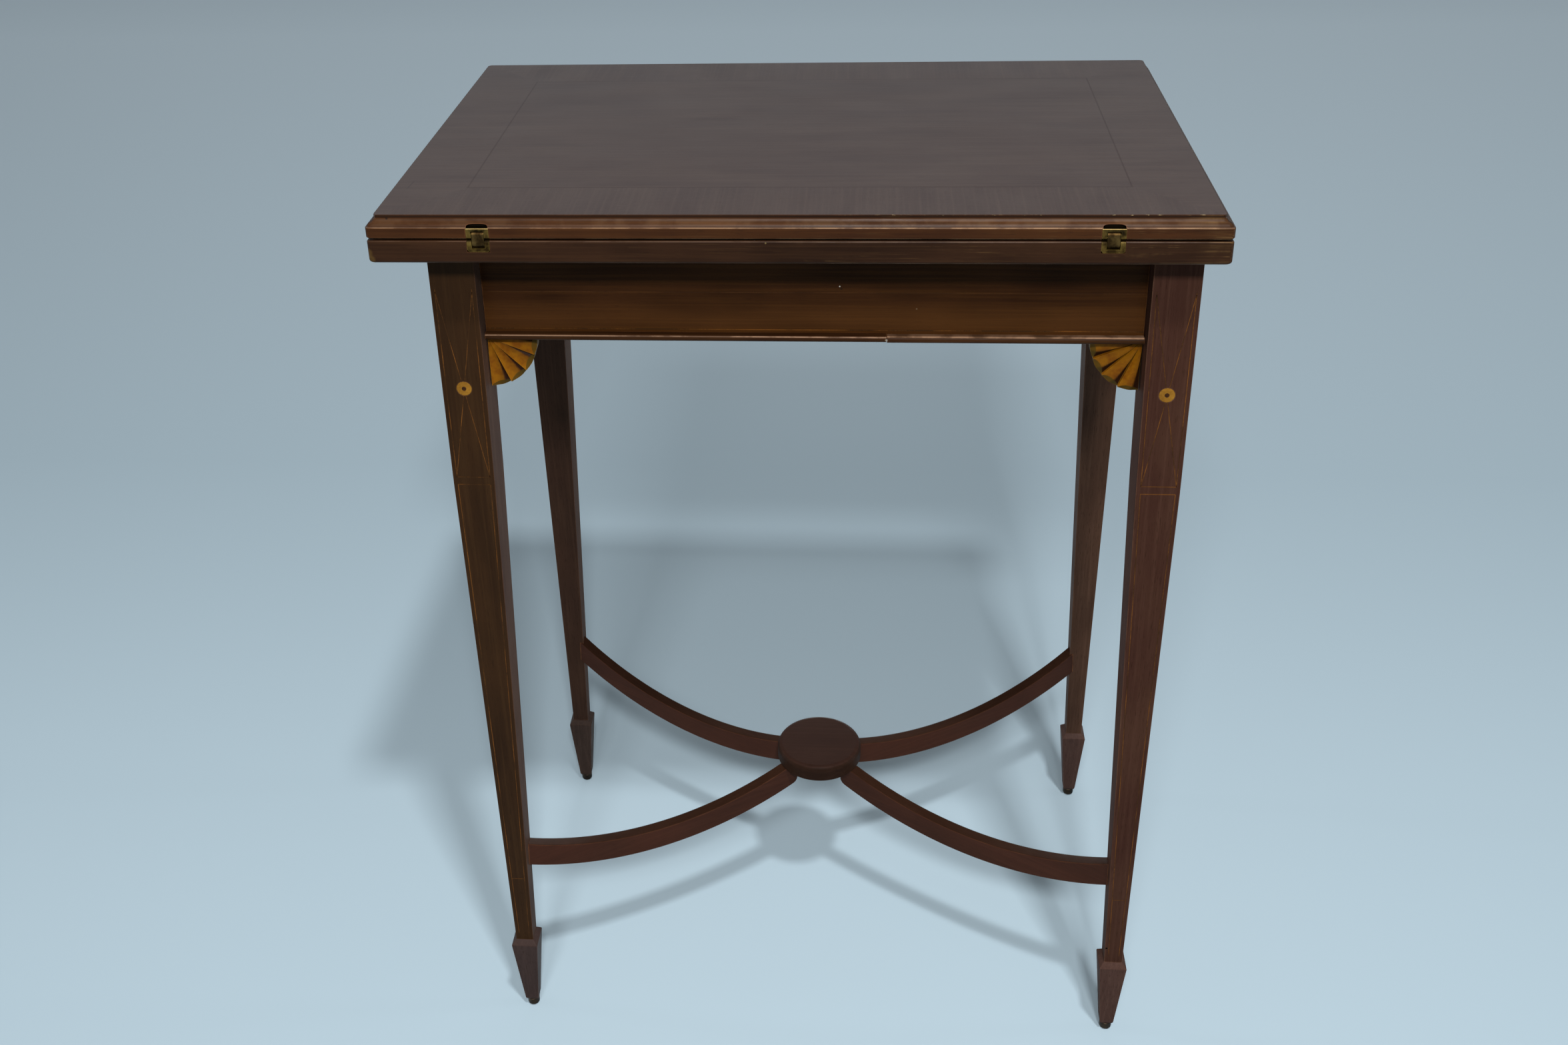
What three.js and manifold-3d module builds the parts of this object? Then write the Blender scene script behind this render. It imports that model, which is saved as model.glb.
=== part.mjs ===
// Folding card table in mahogany, closed, about 1905 in style. Millimetres, +Z up.
// The origin is on the floor under the middle of the closed top. The front, where the two
// leaves are hinged, faces -Y.
//
// A rectangular top of two leaves lies on a frame of four tapered legs and four aprons.
// The whole top turns a quarter turn on a bolt in the frame, which puts the hinged edge
// over the middle of the frame. The upper leaf then folds over on two link hinges and the
// frame carries both leaves, with their cloth sides up.
import * as THREE from 'three';
import { mergeVertices } from 'three/addons/utils/BufferGeometryUtils.js';
import Module from 'manifold-3d';

const wasm = await Module();
wasm.setup();

// Overall sizes
const TOP_LENGTH = 559;
const TOP_DEPTH = 370;
const TOTAL_HEIGHT = 746;

// Leaves
const UPPER_LEAF_THICKNESS = 15;
const LOWER_LEAF_THICKNESS = 16;
const LEAF_GAP = 1.4;
const LEAF_CORNER_RADIUS = 3;
const MOULDING_DROP = 7.2;
const MOULDING_REACH = 5;
const MOULDING_QUIRK = 0.9;
const MOULDING_PLAIN_SHARE = 0.35;
const LOWER_ARRIS_RADIUS = 2.4;
const EASED_ARRIS = 0.4;
const BAND_WIDTH = 38;
const CLOTH_RECESS = 1.5;
const CLOTH_THICKNESS = 1.2;

// Frame
const OVERHANG_LEFT = 31.5;
const OVERHANG_RIGHT = 11.5;
const OVERHANG_FRONT = 26;
const SWIVEL_CLEARANCE = 0.3;
const APRON_HEIGHT = 72;
const APRON_RECESS = 15;
const APRON_THICKNESS = 17;
const TENON_THICKNESS = 8;
const TENON_HEIGHT = 26;
const TENON_LENGTH = 14;
const TENON_INSET = 7;
const BEAD_HEIGHT = 5;
const BEAD_PROJECTION = 6;
const FAN_RADIUS = 37;
const FAN_PETALS = 4;
const FAN_ARC_STEPS = 3;
const FAN_RIDGE = 9;
const FAN_VALLEY = 6.6;

// Legs, feet and their inlay
const LEG_TOP_WIDTH = 32;
const LEG_PANEL_WIDTH = 30.4;
const LEG_ANKLE_WIDTH = 14.6;
const LEG_PANEL_DROP = 110.3;
const LEG_OUTER_TAPER_SHARE = 0.3;
const SPADE_WIDTH = 22;
const SPADE_TOE_WIDTH = 10.8;
const SPADE_RIM_HEIGHT = 76.4;
const SPADE_BEVEL_HEIGHT = 4.2;
const GLIDE_RADIUS = 5;
const GLIDE_FLAT_RADIUS = 2.6;
const GLIDE_HEIGHT = 7.6;
const ROUNDEL_RADIUS = 5.5;
const ROUNDEL_THICKNESS = 1.2;
const ROUNDEL_DROP = 105.3;

// Stretcher
const ARM_THICKNESS = 10;
const ARM_DEPTH = 20;
const ARM_CURVE_RADIUS = 302;
const ARM_LOW_POINT = 144.5;
const ARM_LOW_DISTANCE = 137;
const ARM_INNER_DISTANCE = 25;
const ARM_TOE_RADIUS = 7;
const ARM_CURVE_STEPS = 18;
const DISC_RADIUS = 37;
const DISC_THICKNESS = 14.2;
const DISC_ARRIS_RADIUS = 4.5;

// Swivel and well
const RAIL_THICKNESS = 20;
const RAIL_WIDTH = 41.8;
const BOLT_RADIUS = 5;
const BOLT_TAIL = 4;
const BOLT_FLANGE_RADIUS = 16;
const BOLT_FLANGE_THICKNESS = 3;
const WASHER_RADIUS = 14;
const WASHER_THICKNESS = 2;
const NUT_RADIUS = 9.8;
const NUT_HEIGHT = 8;
const STOP_LENGTH = 18;
const STOP_DROP = 10;
const STOP_DISTANCE = 55;
const WELL_FLOOR_THICKNESS = 5;
const WELL_FLOOR_RISE = 8;

// Link hinges
const HINGE_FROM_END = 75;
const PIN_DEPTH = 2.4;
const PIN_INSET = 2.6;
const PIN_RADIUS = 1;
const LINK_END_RADIUS = 2.5;
const LINK_WIDTH = 8.2;
const ROLL_CLEARANCE = 0.1;
const PLATE_WIDTH = 15;
const PLATE_CHEEK_DEPTH = 8.6;
const PLATE_WALL = 2.4;
const PLATE_FLANGE_LENGTH = 28;
const PLATE_FLANGE_THICKNESS = 1.6;
const HINGE_POCKET_WIDTH = 12;
const HINGE_POCKET_HEIGHT = 2.2;
const HINGE_POCKET_DEPTH = 4;

// Fits
const GLUE_GAP = 0.2;
const WORK_GAP = 0.3;
const BORE_CLEARANCE = 0.4;
const OVERRUN = 2;
const ROUND_STEPS = 32;
const SMALL_ROUND_STEPS = 20;

// Heights worked out from the stack of leaves
const upperLeafBottom = TOTAL_HEIGHT - UPPER_LEAF_THICKNESS;
const playingHeight = upperLeafBottom - LEAF_GAP;
const lowerLeafBottom = playingHeight - LOWER_LEAF_THICKNESS;
const frameTop = lowerLeafBottom - SWIVEL_CLEARANCE;
const apronBottom = frameTop - APRON_HEIGHT;
const topHalfLength = TOP_LENGTH / 2;
const topHalfDepth = TOP_DEPTH / 2;
const frameHalfLength = (TOP_LENGTH - OVERHANG_LEFT - OVERHANG_RIGHT) / 2;
const frameHalfDepth = topHalfDepth - OVERHANG_FRONT;
const frameOffset = (OVERHANG_LEFT - OVERHANG_RIGHT) / 2;
const innerHalfLength = frameHalfLength - LEG_TOP_WIDTH;
const innerHalfDepth = frameHalfDepth - LEG_TOP_WIDTH;

const finishes = {
  mahogany: { color: 0x4a2616, roughness: 0.32, metalness: 0 },
  mahoganyTop: { color: 0x553227, roughness: 0.28, metalness: 0 },
  secondaryWood: { color: 0x8a6a45, roughness: 0.7, metalness: 0 },
  satinwood: { color: 0x96640f, roughness: 0.4, metalness: 0 },
  boxwood: { color: 0xa87e30, roughness: 0.45, metalness: 0 },
  brass: { color: 0x8a6f34, roughness: 0.42, metalness: 1 },
  steel: { color: 0x4d4a46, roughness: 0.5, metalness: 1 },
  cloth: { color: 0x2f5a3c, roughness: 0.95, metalness: 0 },
};

const materials = Object.fromEntries(
  Object.entries(finishes).map(([name, values]) => [name, new THREE.MeshStandardMaterial(values)]),
);

const table = new THREE.Group();
const frame = new THREE.Group();
frame.position.x = frameOffset;
table.add(frame);

function addPiece(parent, name, geometry, finish) {
  const mesh = new THREE.Mesh(geometry, materials[finish]);
  mesh.name = name;
  parent.add(mesh);
  return mesh;
}

// Booleans
function solidOf(geometry) {
  const bare = geometry.clone();
  for (const name of Object.keys(bare.attributes)) {
    if (name !== 'position') bare.deleteAttribute(name);
  }
  const merged = mergeVertices(bare);
  return new wasm.Manifold(new wasm.Mesh({
    numProp: 3,
    vertProperties: Float32Array.from(merged.attributes.position.array),
    triVerts: Uint32Array.from(merged.index.array),
  }));
}

function geometryOf(solid) {
  const mesh = solid.getMesh();
  const geometry = new THREE.BufferGeometry();
  geometry.setAttribute('position', new THREE.BufferAttribute(new Float32Array(mesh.vertProperties), 3));
  geometry.setIndex(new THREE.BufferAttribute(new Uint32Array(mesh.triVerts), 1));
  return geometry;
}

// Basic shapes
function block(x0, x1, y0, y1, z0, z1) {
  const geometry = new THREE.BoxGeometry(x1 - x0, y1 - y0, z1 - z0);
  geometry.translate((x0 + x1) / 2, (y0 + y1) / 2, (z0 + z1) / 2);
  return geometry;
}

function roundBar(radius, z0, z1, steps = ROUND_STEPS) {
  const geometry = new THREE.CylinderGeometry(radius, radius, z1 - z0, steps);
  geometry.rotateX(Math.PI / 2);
  geometry.translate(0, 0, (z0 + z1) / 2);
  return geometry;
}

function crossBar(radius, halfLength, y, z, steps = SMALL_ROUND_STEPS) {
  const geometry = new THREE.CylinderGeometry(radius, radius, 2 * halfLength, steps);
  geometry.rotateZ(Math.PI / 2);
  geometry.translate(0, y, z);
  return geometry;
}

// A closed skin through rings of points that all have the same count. Each ring is convex
// and runs anticlockwise seen from above, and the rings climb.
function skinRings(rings) {
  const count = rings[0].length;
  const positions = rings.flat().flatMap((point) => [point.x, point.y, point.z]);
  const index = [];
  for (let ring = 0; ring + 1 < rings.length; ring += 1) {
    for (let i = 0; i < count; i += 1) {
      const next = (i + 1) % count;
      const low = ring * count;
      const high = low + count;
      index.push(low + i, low + next, high + next);
      index.push(low + i, high + next, high + i);
    }
  }
  const last = (rings.length - 1) * count;
  for (let i = 1; i + 1 < count; i += 1) {
    index.push(0, i + 1, i);
    index.push(last, last + i, last + i + 1);
  }
  const geometry = new THREE.BufferGeometry();
  geometry.setAttribute('position', new THREE.Float32BufferAttribute(positions, 3));
  geometry.setIndex(index);
  return geometry;
}

function rectangleRing(x0, x1, y0, y1, z) {
  return [
    new THREE.Vector3(x0, y0, z),
    new THREE.Vector3(x1, y0, z),
    new THREE.Vector3(x1, y1, z),
    new THREE.Vector3(x0, y1, z),
  ];
}

function roundedRing(halfX, halfY, radius, z) {
  const steps = 4;
  const corners = [[-1, -1, 2], [1, -1, 3], [1, 1, 0], [-1, 1, 1]];
  return corners.flatMap(([sx, sy, quarter]) => {
    const points = [];
    for (let step = 0; step <= steps; step += 1) {
      const angle = (quarter + step / steps) * Math.PI / 2;
      points.push(new THREE.Vector3(
        sx * (halfX - radius) + radius * Math.cos(angle),
        sy * (halfY - radius) + radius * Math.sin(angle),
        z,
      ));
    }
    return points;
  });
}

// A copy moved by a matrix, with its faces turned back out if the matrix mirrors it
function placed(geometry, matrix) {
  const copy = geometry.clone().applyMatrix4(matrix);
  if (matrix.determinant() < 0) {
    const order = copy.index ? copy.index.array : null;
    const count = order ? order.length : copy.attributes.position.count;
    const flipped = [];
    for (let i = 0; i < count; i += 3) {
      const corners = order ? [order[i], order[i + 2], order[i + 1]] : [i, i + 2, i + 1];
      flipped.push(...corners);
    }
    copy.setIndex(flipped);
  }
  return copy;
}

function mirrored(geometry, sx, sy) {
  return placed(geometry, new THREE.Matrix4().makeScale(sx, sy, 1));
}

function moved(geometry, x, y, z) {
  return geometry.clone().translate(x, y, z);
}

// The four corners of the frame. Every piece of a corner is modelled once, at the back
// right, and mirrored to the others.
const corners = [
  { name: 'front_left', sx: -1, sy: -1 },
  { name: 'front_right', sx: 1, sy: -1 },
  { name: 'back_left', sx: -1, sy: 1 },
  { name: 'back_right', sx: 1, sy: 1 },
];

function addToCorners(prefix, geometry, finish) {
  for (const corner of corners) {
    addPiece(frame, `${prefix}_${corner.name}`, mirrored(geometry, corner.sx, corner.sy), finish);
  }
}

const panelFoot = apronBottom - LEG_PANEL_DROP;
const roundelHeight = frameTop - ROUNDEL_DROP;

// Legs: straight beside the apron, slightly narrower at the foot of the inlaid panel, and
// tapered from there to the ankle. The outer faces take only a share of the taper.
function legWidthAt(z) {
  if (z >= apronBottom) return LEG_TOP_WIDTH;
  if (z >= panelFoot) {
    const share = (apronBottom - z) / (apronBottom - panelFoot);
    return THREE.MathUtils.lerp(LEG_TOP_WIDTH, LEG_PANEL_WIDTH, share);
  }
  const share = (panelFoot - z) / (panelFoot - ankleHeight);
  return THREE.MathUtils.lerp(LEG_PANEL_WIDTH, LEG_ANKLE_WIDTH, share);
}

function legOuterInsetAt(z) {
  return LEG_OUTER_TAPER_SHARE * Math.max(0, LEG_PANEL_WIDTH - legWidthAt(z));
}

const ankleHeight = SPADE_RIM_HEIGHT + SPADE_BEVEL_HEIGHT;

function legRing(z, clearance) {
  const outer = legOuterInsetAt(z);
  const width = legWidthAt(z);
  const x1 = frameHalfLength - outer;
  const y1 = frameHalfDepth - outer;
  return rectangleRing(
    x1 - width - clearance, x1 + clearance,
    y1 - width - clearance, y1 + clearance, z,
  );
}

function legBlank(clearance) {
  const heights = [ankleHeight + GLUE_GAP, panelFoot, apronBottom, frameTop];
  return skinRings(heights.map((z) => legRing(z, clearance)));
}

const legCentreX = frameHalfLength - legOuterInsetAt(ankleHeight) - LEG_ANKLE_WIDTH / 2;
const legCentreY = frameHalfDepth - legOuterInsetAt(ankleHeight) - LEG_ANKLE_WIDTH / 2;

// Tenons: those of the front and back aprons are high in the leg and those of the side
// aprons low, so they pass each other.
const tenonMiddle = APRON_RECESS + APRON_THICKNESS / 2;
const highTenonTop = frameTop - TENON_INSET;
const lowTenonBottom = apronBottom + TENON_INSET;

function longTenon(clearance) {
  const y = frameHalfDepth - tenonMiddle;
  return block(
    innerHalfLength - OVERRUN, innerHalfLength + TENON_LENGTH + clearance,
    y - TENON_THICKNESS / 2 - clearance, y + TENON_THICKNESS / 2 + clearance,
    highTenonTop - TENON_HEIGHT - clearance, highTenonTop + clearance,
  );
}

function shortTenon(clearance) {
  const x = frameHalfLength - tenonMiddle;
  return block(
    x - TENON_THICKNESS / 2 - clearance, x + TENON_THICKNESS / 2 + clearance,
    innerHalfDepth - OVERRUN, innerHalfDepth + TENON_LENGTH + clearance,
    lowTenonBottom - clearance, lowTenonBottom + TENON_HEIGHT + clearance,
  );
}

// A roundel lies flush in the outer face of each leg, in the middle of its width
const roundelX = frameHalfLength - legWidthAt(roundelHeight) / 2;

function roundelBar(radius, depth, overrun) {
  const geometry = new THREE.CylinderGeometry(radius, radius, depth + overrun, ROUND_STEPS);
  geometry.translate(roundelX, frameHalfDepth - depth / 2 + overrun / 2, roundelHeight);
  return geometry;
}

function buildLegs() {
  const leg = solidOf(legBlank(0))
    .subtract(solidOf(longTenon(WORK_GAP)))
    .subtract(solidOf(shortTenon(WORK_GAP)))
    .subtract(solidOf(roundelBar(ROUNDEL_RADIUS + WORK_GAP, ROUNDEL_THICKNESS + GLUE_GAP, OVERRUN)));
  addToCorners('leg', geometryOf(leg), 'mahogany');
  addToCorners('roundel', roundelBar(ROUNDEL_RADIUS, ROUNDEL_THICKNESS, 0), 'boxwood');
}

// Spade foot: a bevelled shoulder, then a long taper to the toe
function buildFeet() {
  const ring = (width, z) => rectangleRing(
    legCentreX - width / 2, legCentreX + width / 2,
    legCentreY - width / 2, legCentreY + width / 2, z,
  );
  const spade = skinRings([
    ring(SPADE_TOE_WIDTH, GLIDE_HEIGHT + GLUE_GAP),
    ring(SPADE_WIDTH, SPADE_RIM_HEIGHT),
    ring(LEG_ANKLE_WIDTH + EASED_ARRIS, ankleHeight),
  ]);
  addToCorners('spade_foot', spade, 'mahogany');

  const profile = [new THREE.Vector2(0, 0), new THREE.Vector2(GLIDE_FLAT_RADIUS, 0)];
  const domeSteps = 4;
  const domeHeight = GLIDE_RADIUS - GLIDE_FLAT_RADIUS;
  for (let step = 1; step <= domeSteps; step += 1) {
    const angle = (step / domeSteps) * Math.PI / 2;
    profile.push(new THREE.Vector2(
      GLIDE_FLAT_RADIUS + domeHeight * Math.sin(angle),
      domeHeight * (1 - Math.cos(angle)),
    ));
  }
  profile.push(new THREE.Vector2(GLIDE_RADIUS, GLIDE_HEIGHT), new THREE.Vector2(0, GLIDE_HEIGHT));
  const glide = new THREE.LatheGeometry(profile, SMALL_ROUND_STEPS);
  glide.rotateX(Math.PI / 2);
  addToCorners('glide', moved(glide, legCentreX, legCentreY, 0), 'steel');
}

// Aprons, with their tenons and the half-round bead along the bottom edge
function buildAprons() {
  const longFace = frameHalfDepth - APRON_RECESS;
  const longBoard = solidOf(block(
    -innerHalfLength + GLUE_GAP, innerHalfLength - GLUE_GAP,
    longFace - APRON_THICKNESS, longFace, apronBottom, frameTop,
  ))
    .add(solidOf(longTenon(0)))
    .add(solidOf(mirrored(longTenon(0), -1, 1)));
  const shortFace = frameHalfLength - APRON_RECESS;
  const shortBoard = solidOf(block(
    shortFace - APRON_THICKNESS, shortFace,
    -innerHalfDepth + GLUE_GAP, innerHalfDepth - GLUE_GAP, apronBottom, frameTop,
  ))
    .add(solidOf(shortTenon(0)))
    .add(solidOf(mirrored(shortTenon(0), 1, -1)));

  // The bead's section, outward from the apron's face: a flat back and a round nose
  const noseRadius = BEAD_HEIGHT / 2;
  const section = new THREE.Shape();
  section.moveTo(0, 0);
  section.lineTo(BEAD_PROJECTION - noseRadius, 0);
  section.absarc(BEAD_PROJECTION - noseRadius, noseRadius, noseRadius, -Math.PI / 2, Math.PI / 2, false);
  section.lineTo(0, BEAD_HEIGHT);
  section.closePath();
  const beadOf = (halfLength) => {
    const geometry = new THREE.ExtrudeGeometry(section, {
      depth: 2 * halfLength, bevelEnabled: false, curveSegments: 4,
    });
    // The section's x becomes outward (+Y), its y becomes up, and the length runs along X
    geometry.translate(0, 0, -halfLength);
    return placed(geometry, new THREE.Matrix4().makeBasis(
      new THREE.Vector3(0, 1, 0), new THREE.Vector3(0, 0, 1), new THREE.Vector3(1, 0, 0),
    ));
  };
  const longBead = moved(beadOf(innerHalfLength - GLUE_GAP), 0, longFace + GLUE_GAP, apronBottom);
  const turned = beadOf(innerHalfDepth - GLUE_GAP).rotateZ(-Math.PI / 2);
  const shortBead = moved(turned, shortFace + GLUE_GAP, 0, apronBottom);

  for (const [side, sy] of [['front', -1], ['back', 1]]) {
    addPiece(frame, `apron_${side}`, mirrored(geometryOf(longBoard), 1, sy), 'mahogany');
    addPiece(frame, `bead_${side}`, mirrored(longBead, 1, sy), 'mahogany');
  }
  for (const [side, sx] of [['left', -1], ['right', 1]]) {
    addPiece(frame, `apron_${side}`, mirrored(geometryOf(shortBoard), sx, 1), 'mahogany');
    addPiece(frame, `bead_${side}`, mirrored(shortBead, sx, 1), 'mahogany');
  }
}

// Fan bracket: a quarter circle of petals carved like saw teeth. It is drawn with u along
// the apron away from the leg, v downwards and w outwards. Each petal falls from a ridge to
// a valley, in the direction that looks anticlockwise from outside on every fan, so the
// ridge is on the leg's side of the petal on a fan at the left end of its apron.
function fanSolid(ridgeAtLeg) {
  const petalAngle = Math.PI / 2 / FAN_PETALS;
  let fan = null;
  for (let petal = 0; petal < FAN_PETALS; petal += 1) {
    const low = [];
    const high = [];
    const front = (share) => THREE.MathUtils.lerp(
      ridgeAtLeg ? FAN_RIDGE : FAN_VALLEY, ridgeAtLeg ? FAN_VALLEY : FAN_RIDGE, share,
    );
    const points = [[0, 0, (FAN_RIDGE + FAN_VALLEY) / 2]];
    for (let step = 0; step <= FAN_ARC_STEPS; step += 1) {
      const share = step / FAN_ARC_STEPS;
      const angle = (petal + share) * petalAngle;
      points.push([FAN_RADIUS * Math.sin(angle), FAN_RADIUS * Math.cos(angle), front(share)]);
    }
    for (const [u, v, w] of points) {
      low.push(new THREE.Vector3(v, u, 0));
      high.push(new THREE.Vector3(v, u, w));
    }
    const wedge = solidOf(skinRings([low, high]));
    fan = fan ? fan.add(wedge) : wedge;
  }
  return geometryOf(fan);
}

function buildFans() {
  const fanTop = apronBottom - GLUE_GAP;
  const longBack = frameHalfDepth - APRON_RECESS - FAN_RIDGE;
  const shortBack = frameHalfLength - APRON_RECESS - FAN_RIDGE;
  for (const corner of corners) {
    const { name, sx, sy } = corner;
    // The skin's axes are v, u and w. Beside a long apron u runs along X and w along Y.
    const longEndAtLeft = sx * sy > 0;
    const alongX = new THREE.Matrix4().makeBasis(
      new THREE.Vector3(0, 0, -1), new THREE.Vector3(-sx, 0, 0), new THREE.Vector3(0, sy, 0),
    ).setPosition(sx * (innerHalfLength - GLUE_GAP), sy * longBack, fanTop);
    addPiece(frame, `fan_${name}_long`, placed(fanSolid(longEndAtLeft), alongX), 'satinwood');
    const alongY = new THREE.Matrix4().makeBasis(
      new THREE.Vector3(0, 0, -1), new THREE.Vector3(0, -sy, 0), new THREE.Vector3(sx, 0, 0),
    ).setPosition(sx * shortBack, sy * (innerHalfDepth - GLUE_GAP), fanTop);
    addPiece(frame, `fan_${name}_short`, placed(fanSolid(!longEndAtLeft), alongY), 'satinwood');
  }
}

// Stretcher: four arms on the diagonals that hang in a curve between the legs and the disc.
// They are cut flat under the disc.
const discBottom = armTopAt(DISC_RADIUS) + GLUE_GAP;

function armTopAt(distance) {
  const away = distance - ARM_LOW_DISTANCE;
  return ARM_LOW_POINT + ARM_CURVE_RADIUS - Math.sqrt(ARM_CURVE_RADIUS ** 2 - away ** 2);
}

function buildStretcher() {
  const reach = Math.hypot(legCentreX, legCentreY);
  const bearing = Math.atan2(legCentreY, legCentreX);
  const centreHeight = ARM_LOW_POINT + ARM_CURVE_RADIUS;
  const lowRadius = ARM_CURVE_RADIUS + ARM_DEPTH;
  const angleAt = (distance, radius) => Math.asin((distance - ARM_LOW_DISTANCE) / radius);
  const outline = new THREE.Shape();
  const topPoint = (angle) => [
    ARM_LOW_DISTANCE + ARM_CURVE_RADIUS * Math.sin(angle),
    centreHeight - ARM_CURVE_RADIUS * Math.cos(angle),
  ];
  const innerTop = angleAt(ARM_INNER_DISTANCE, ARM_CURVE_RADIUS);
  const outerTop = angleAt(reach, ARM_CURVE_RADIUS);
  outline.moveTo(...topPoint(innerTop));
  for (let step = 1; step <= ARM_CURVE_STEPS; step += 1) {
    outline.lineTo(...topPoint(THREE.MathUtils.lerp(innerTop, outerTop, step / ARM_CURVE_STEPS)));
  }
  const toeCentreDistance = ARM_INNER_DISTANCE + ARM_TOE_RADIUS;
  const toeAngle = angleAt(toeCentreDistance, lowRadius - ARM_TOE_RADIUS);
  const toeCentreHeight = centreHeight - (lowRadius - ARM_TOE_RADIUS) * Math.cos(toeAngle);
  const outerLow = angleAt(reach, lowRadius);
  for (let step = ARM_CURVE_STEPS; step >= 0; step -= 1) {
    const angle = THREE.MathUtils.lerp(toeAngle, outerLow, step / ARM_CURVE_STEPS);
    outline.lineTo(
      ARM_LOW_DISTANCE + lowRadius * Math.sin(angle),
      centreHeight - lowRadius * Math.cos(angle),
    );
  }
  // The round toe at the inner end runs from the low curve up to the upright end
  outline.absarc(
    toeCentreDistance, toeCentreHeight, ARM_TOE_RADIUS,
    toeAngle - Math.PI / 2, -Math.PI, true,
  );
  outline.closePath();
  const bar = new THREE.ExtrudeGeometry(outline, {
    depth: ARM_THICKNESS, bevelEnabled: false, curveSegments: 5,
  });
  bar.translate(0, 0, -ARM_THICKNESS / 2);
  bar.rotateX(Math.PI / 2);
  bar.rotateZ(bearing);
  const discSeat = block(
    0, DISC_RADIUS + OVERRUN, 0, DISC_RADIUS + OVERRUN,
    discBottom - GLUE_GAP, discBottom + ARM_DEPTH,
  );
  const arm = solidOf(bar).subtract(solidOf(legBlank(WORK_GAP))).subtract(solidOf(discSeat));
  addToCorners('stretcher_arm', geometryOf(arm), 'mahogany');

  const discTop = discBottom + DISC_THICKNESS;
  const profile = [
    new THREE.Vector2(0, discBottom),
    new THREE.Vector2(DISC_RADIUS - EASED_ARRIS, discBottom),
    new THREE.Vector2(DISC_RADIUS, discBottom + EASED_ARRIS),
  ];
  const arrisSteps = 5;
  for (let step = 0; step <= arrisSteps; step += 1) {
    const angle = (step / arrisSteps) * Math.PI / 2;
    profile.push(new THREE.Vector2(
      DISC_RADIUS - DISC_ARRIS_RADIUS * (1 - Math.cos(angle)),
      discTop - DISC_ARRIS_RADIUS * (1 - Math.sin(angle)),
    ));
  }
  profile.push(new THREE.Vector2(0, discTop));
  const disc = new THREE.LatheGeometry(profile, 2 * ROUND_STEPS);
  disc.rotateX(Math.PI / 2);
  addPiece(frame, 'stretcher_disc', disc, 'mahogany');
}

// The bolt stands where a quarter turn brings the middle of the hinged edge over the middle
// of the frame.
const pivot = new THREE.Vector2(
  (frameOffset - topHalfDepth) / 2,
  (frameOffset - topHalfDepth) / 2,
);
const apronInnerFace = -innerHalfDepth;
const railHalfWidth = RAIL_WIDTH / 2;
const stopInner = railHalfWidth + WORK_GAP;
const stopOuter = pivot.y - apronInnerFace - WORK_GAP;
const railBottom = frameTop - RAIL_THICKNESS;

function buildSwivel() {
  const rail = solidOf(block(
    pivot.x - railHalfWidth, pivot.x + railHalfWidth,
    -innerHalfDepth + GLUE_GAP, innerHalfDepth - GLUE_GAP, railBottom, frameTop,
  )).subtract(solidOf(moved(
    roundBar(BOLT_RADIUS + BORE_CLEARANCE, railBottom - OVERRUN, frameTop + OVERRUN), pivot.x, pivot.y, 0,
  )));
  addPiece(table, 'pivot_rail', geometryOf(rail), 'secondaryWood');

  const washerTop = railBottom - WORK_GAP;
  const nutTop = washerTop - WASHER_THICKNESS - GLUE_GAP;
  const boltEnd = nutTop - NUT_HEIGHT - BOLT_TAIL;
  const bolt = solidOf(roundBar(BOLT_RADIUS, boltEnd, lowerLeafBottom + BOLT_FLANGE_THICKNESS / 2))
    .add(solidOf(roundBar(BOLT_FLANGE_RADIUS, lowerLeafBottom, lowerLeafBottom + BOLT_FLANGE_THICKNESS)));
  addPiece(table, 'pivot_bolt', moved(geometryOf(bolt), pivot.x, pivot.y, 0), 'steel');

  const bored = (radius, z0, z1, steps) => geometryOf(
    solidOf(roundBar(radius, z0, z1, steps))
      .subtract(solidOf(roundBar(BOLT_RADIUS + BORE_CLEARANCE, z0 - OVERRUN, z1 + OVERRUN))),
  );
  const washer = bored(WASHER_RADIUS, washerTop - WASHER_THICKNESS, washerTop);
  addPiece(table, 'pivot_washer', moved(washer, pivot.x, pivot.y, 0), 'steel');
  const nutSides = 6;
  const nut = bored(NUT_RADIUS, nutTop - NUT_HEIGHT, nutTop, nutSides);
  addPiece(table, 'pivot_nut', moved(nut, pivot.x, pivot.y, 0), 'steel');

  // Under the leaf a block meets the front apron when the top is closed, and the rail after
  // the quarter turn.
  const stopX = pivot.x + STOP_DISTANCE;
  const stopTop = lowerLeafBottom - GLUE_GAP;
  const stop = block(
    stopX - STOP_LENGTH / 2, stopX + STOP_LENGTH / 2,
    pivot.y - stopOuter, pivot.y - stopInner, stopTop - STOP_DROP, stopTop,
  );
  addPiece(table, 'swivel_stop', stop, 'secondaryWood');

  const floorBottom = apronBottom + WELL_FLOOR_RISE;
  const floorBoard = block(
    -innerHalfLength + GLUE_GAP, innerHalfLength - GLUE_GAP,
    -innerHalfDepth + GLUE_GAP, innerHalfDepth - GLUE_GAP,
    floorBottom, floorBottom + WELL_FLOOR_THICKNESS,
  );
  addPiece(frame, 'well_floor', floorBoard, 'secondaryWood');
}

// Hinge places and the shared link geometry
const hingeY = -topHalfDepth + PIN_INSET;
const lowerPinZ = playingHeight - PIN_DEPTH;
const upperPinZ = upperLeafBottom + PIN_DEPTH;
const pinSpacing = upperPinZ - lowerPinZ;
const rollRadius = pinSpacing / 2 - ROLL_CLEARANCE;
const hinges = [
  { name: 'left', x: -topHalfLength + HINGE_FROM_END },
  { name: 'right', x: topHalfLength - HINGE_FROM_END },
];

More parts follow.
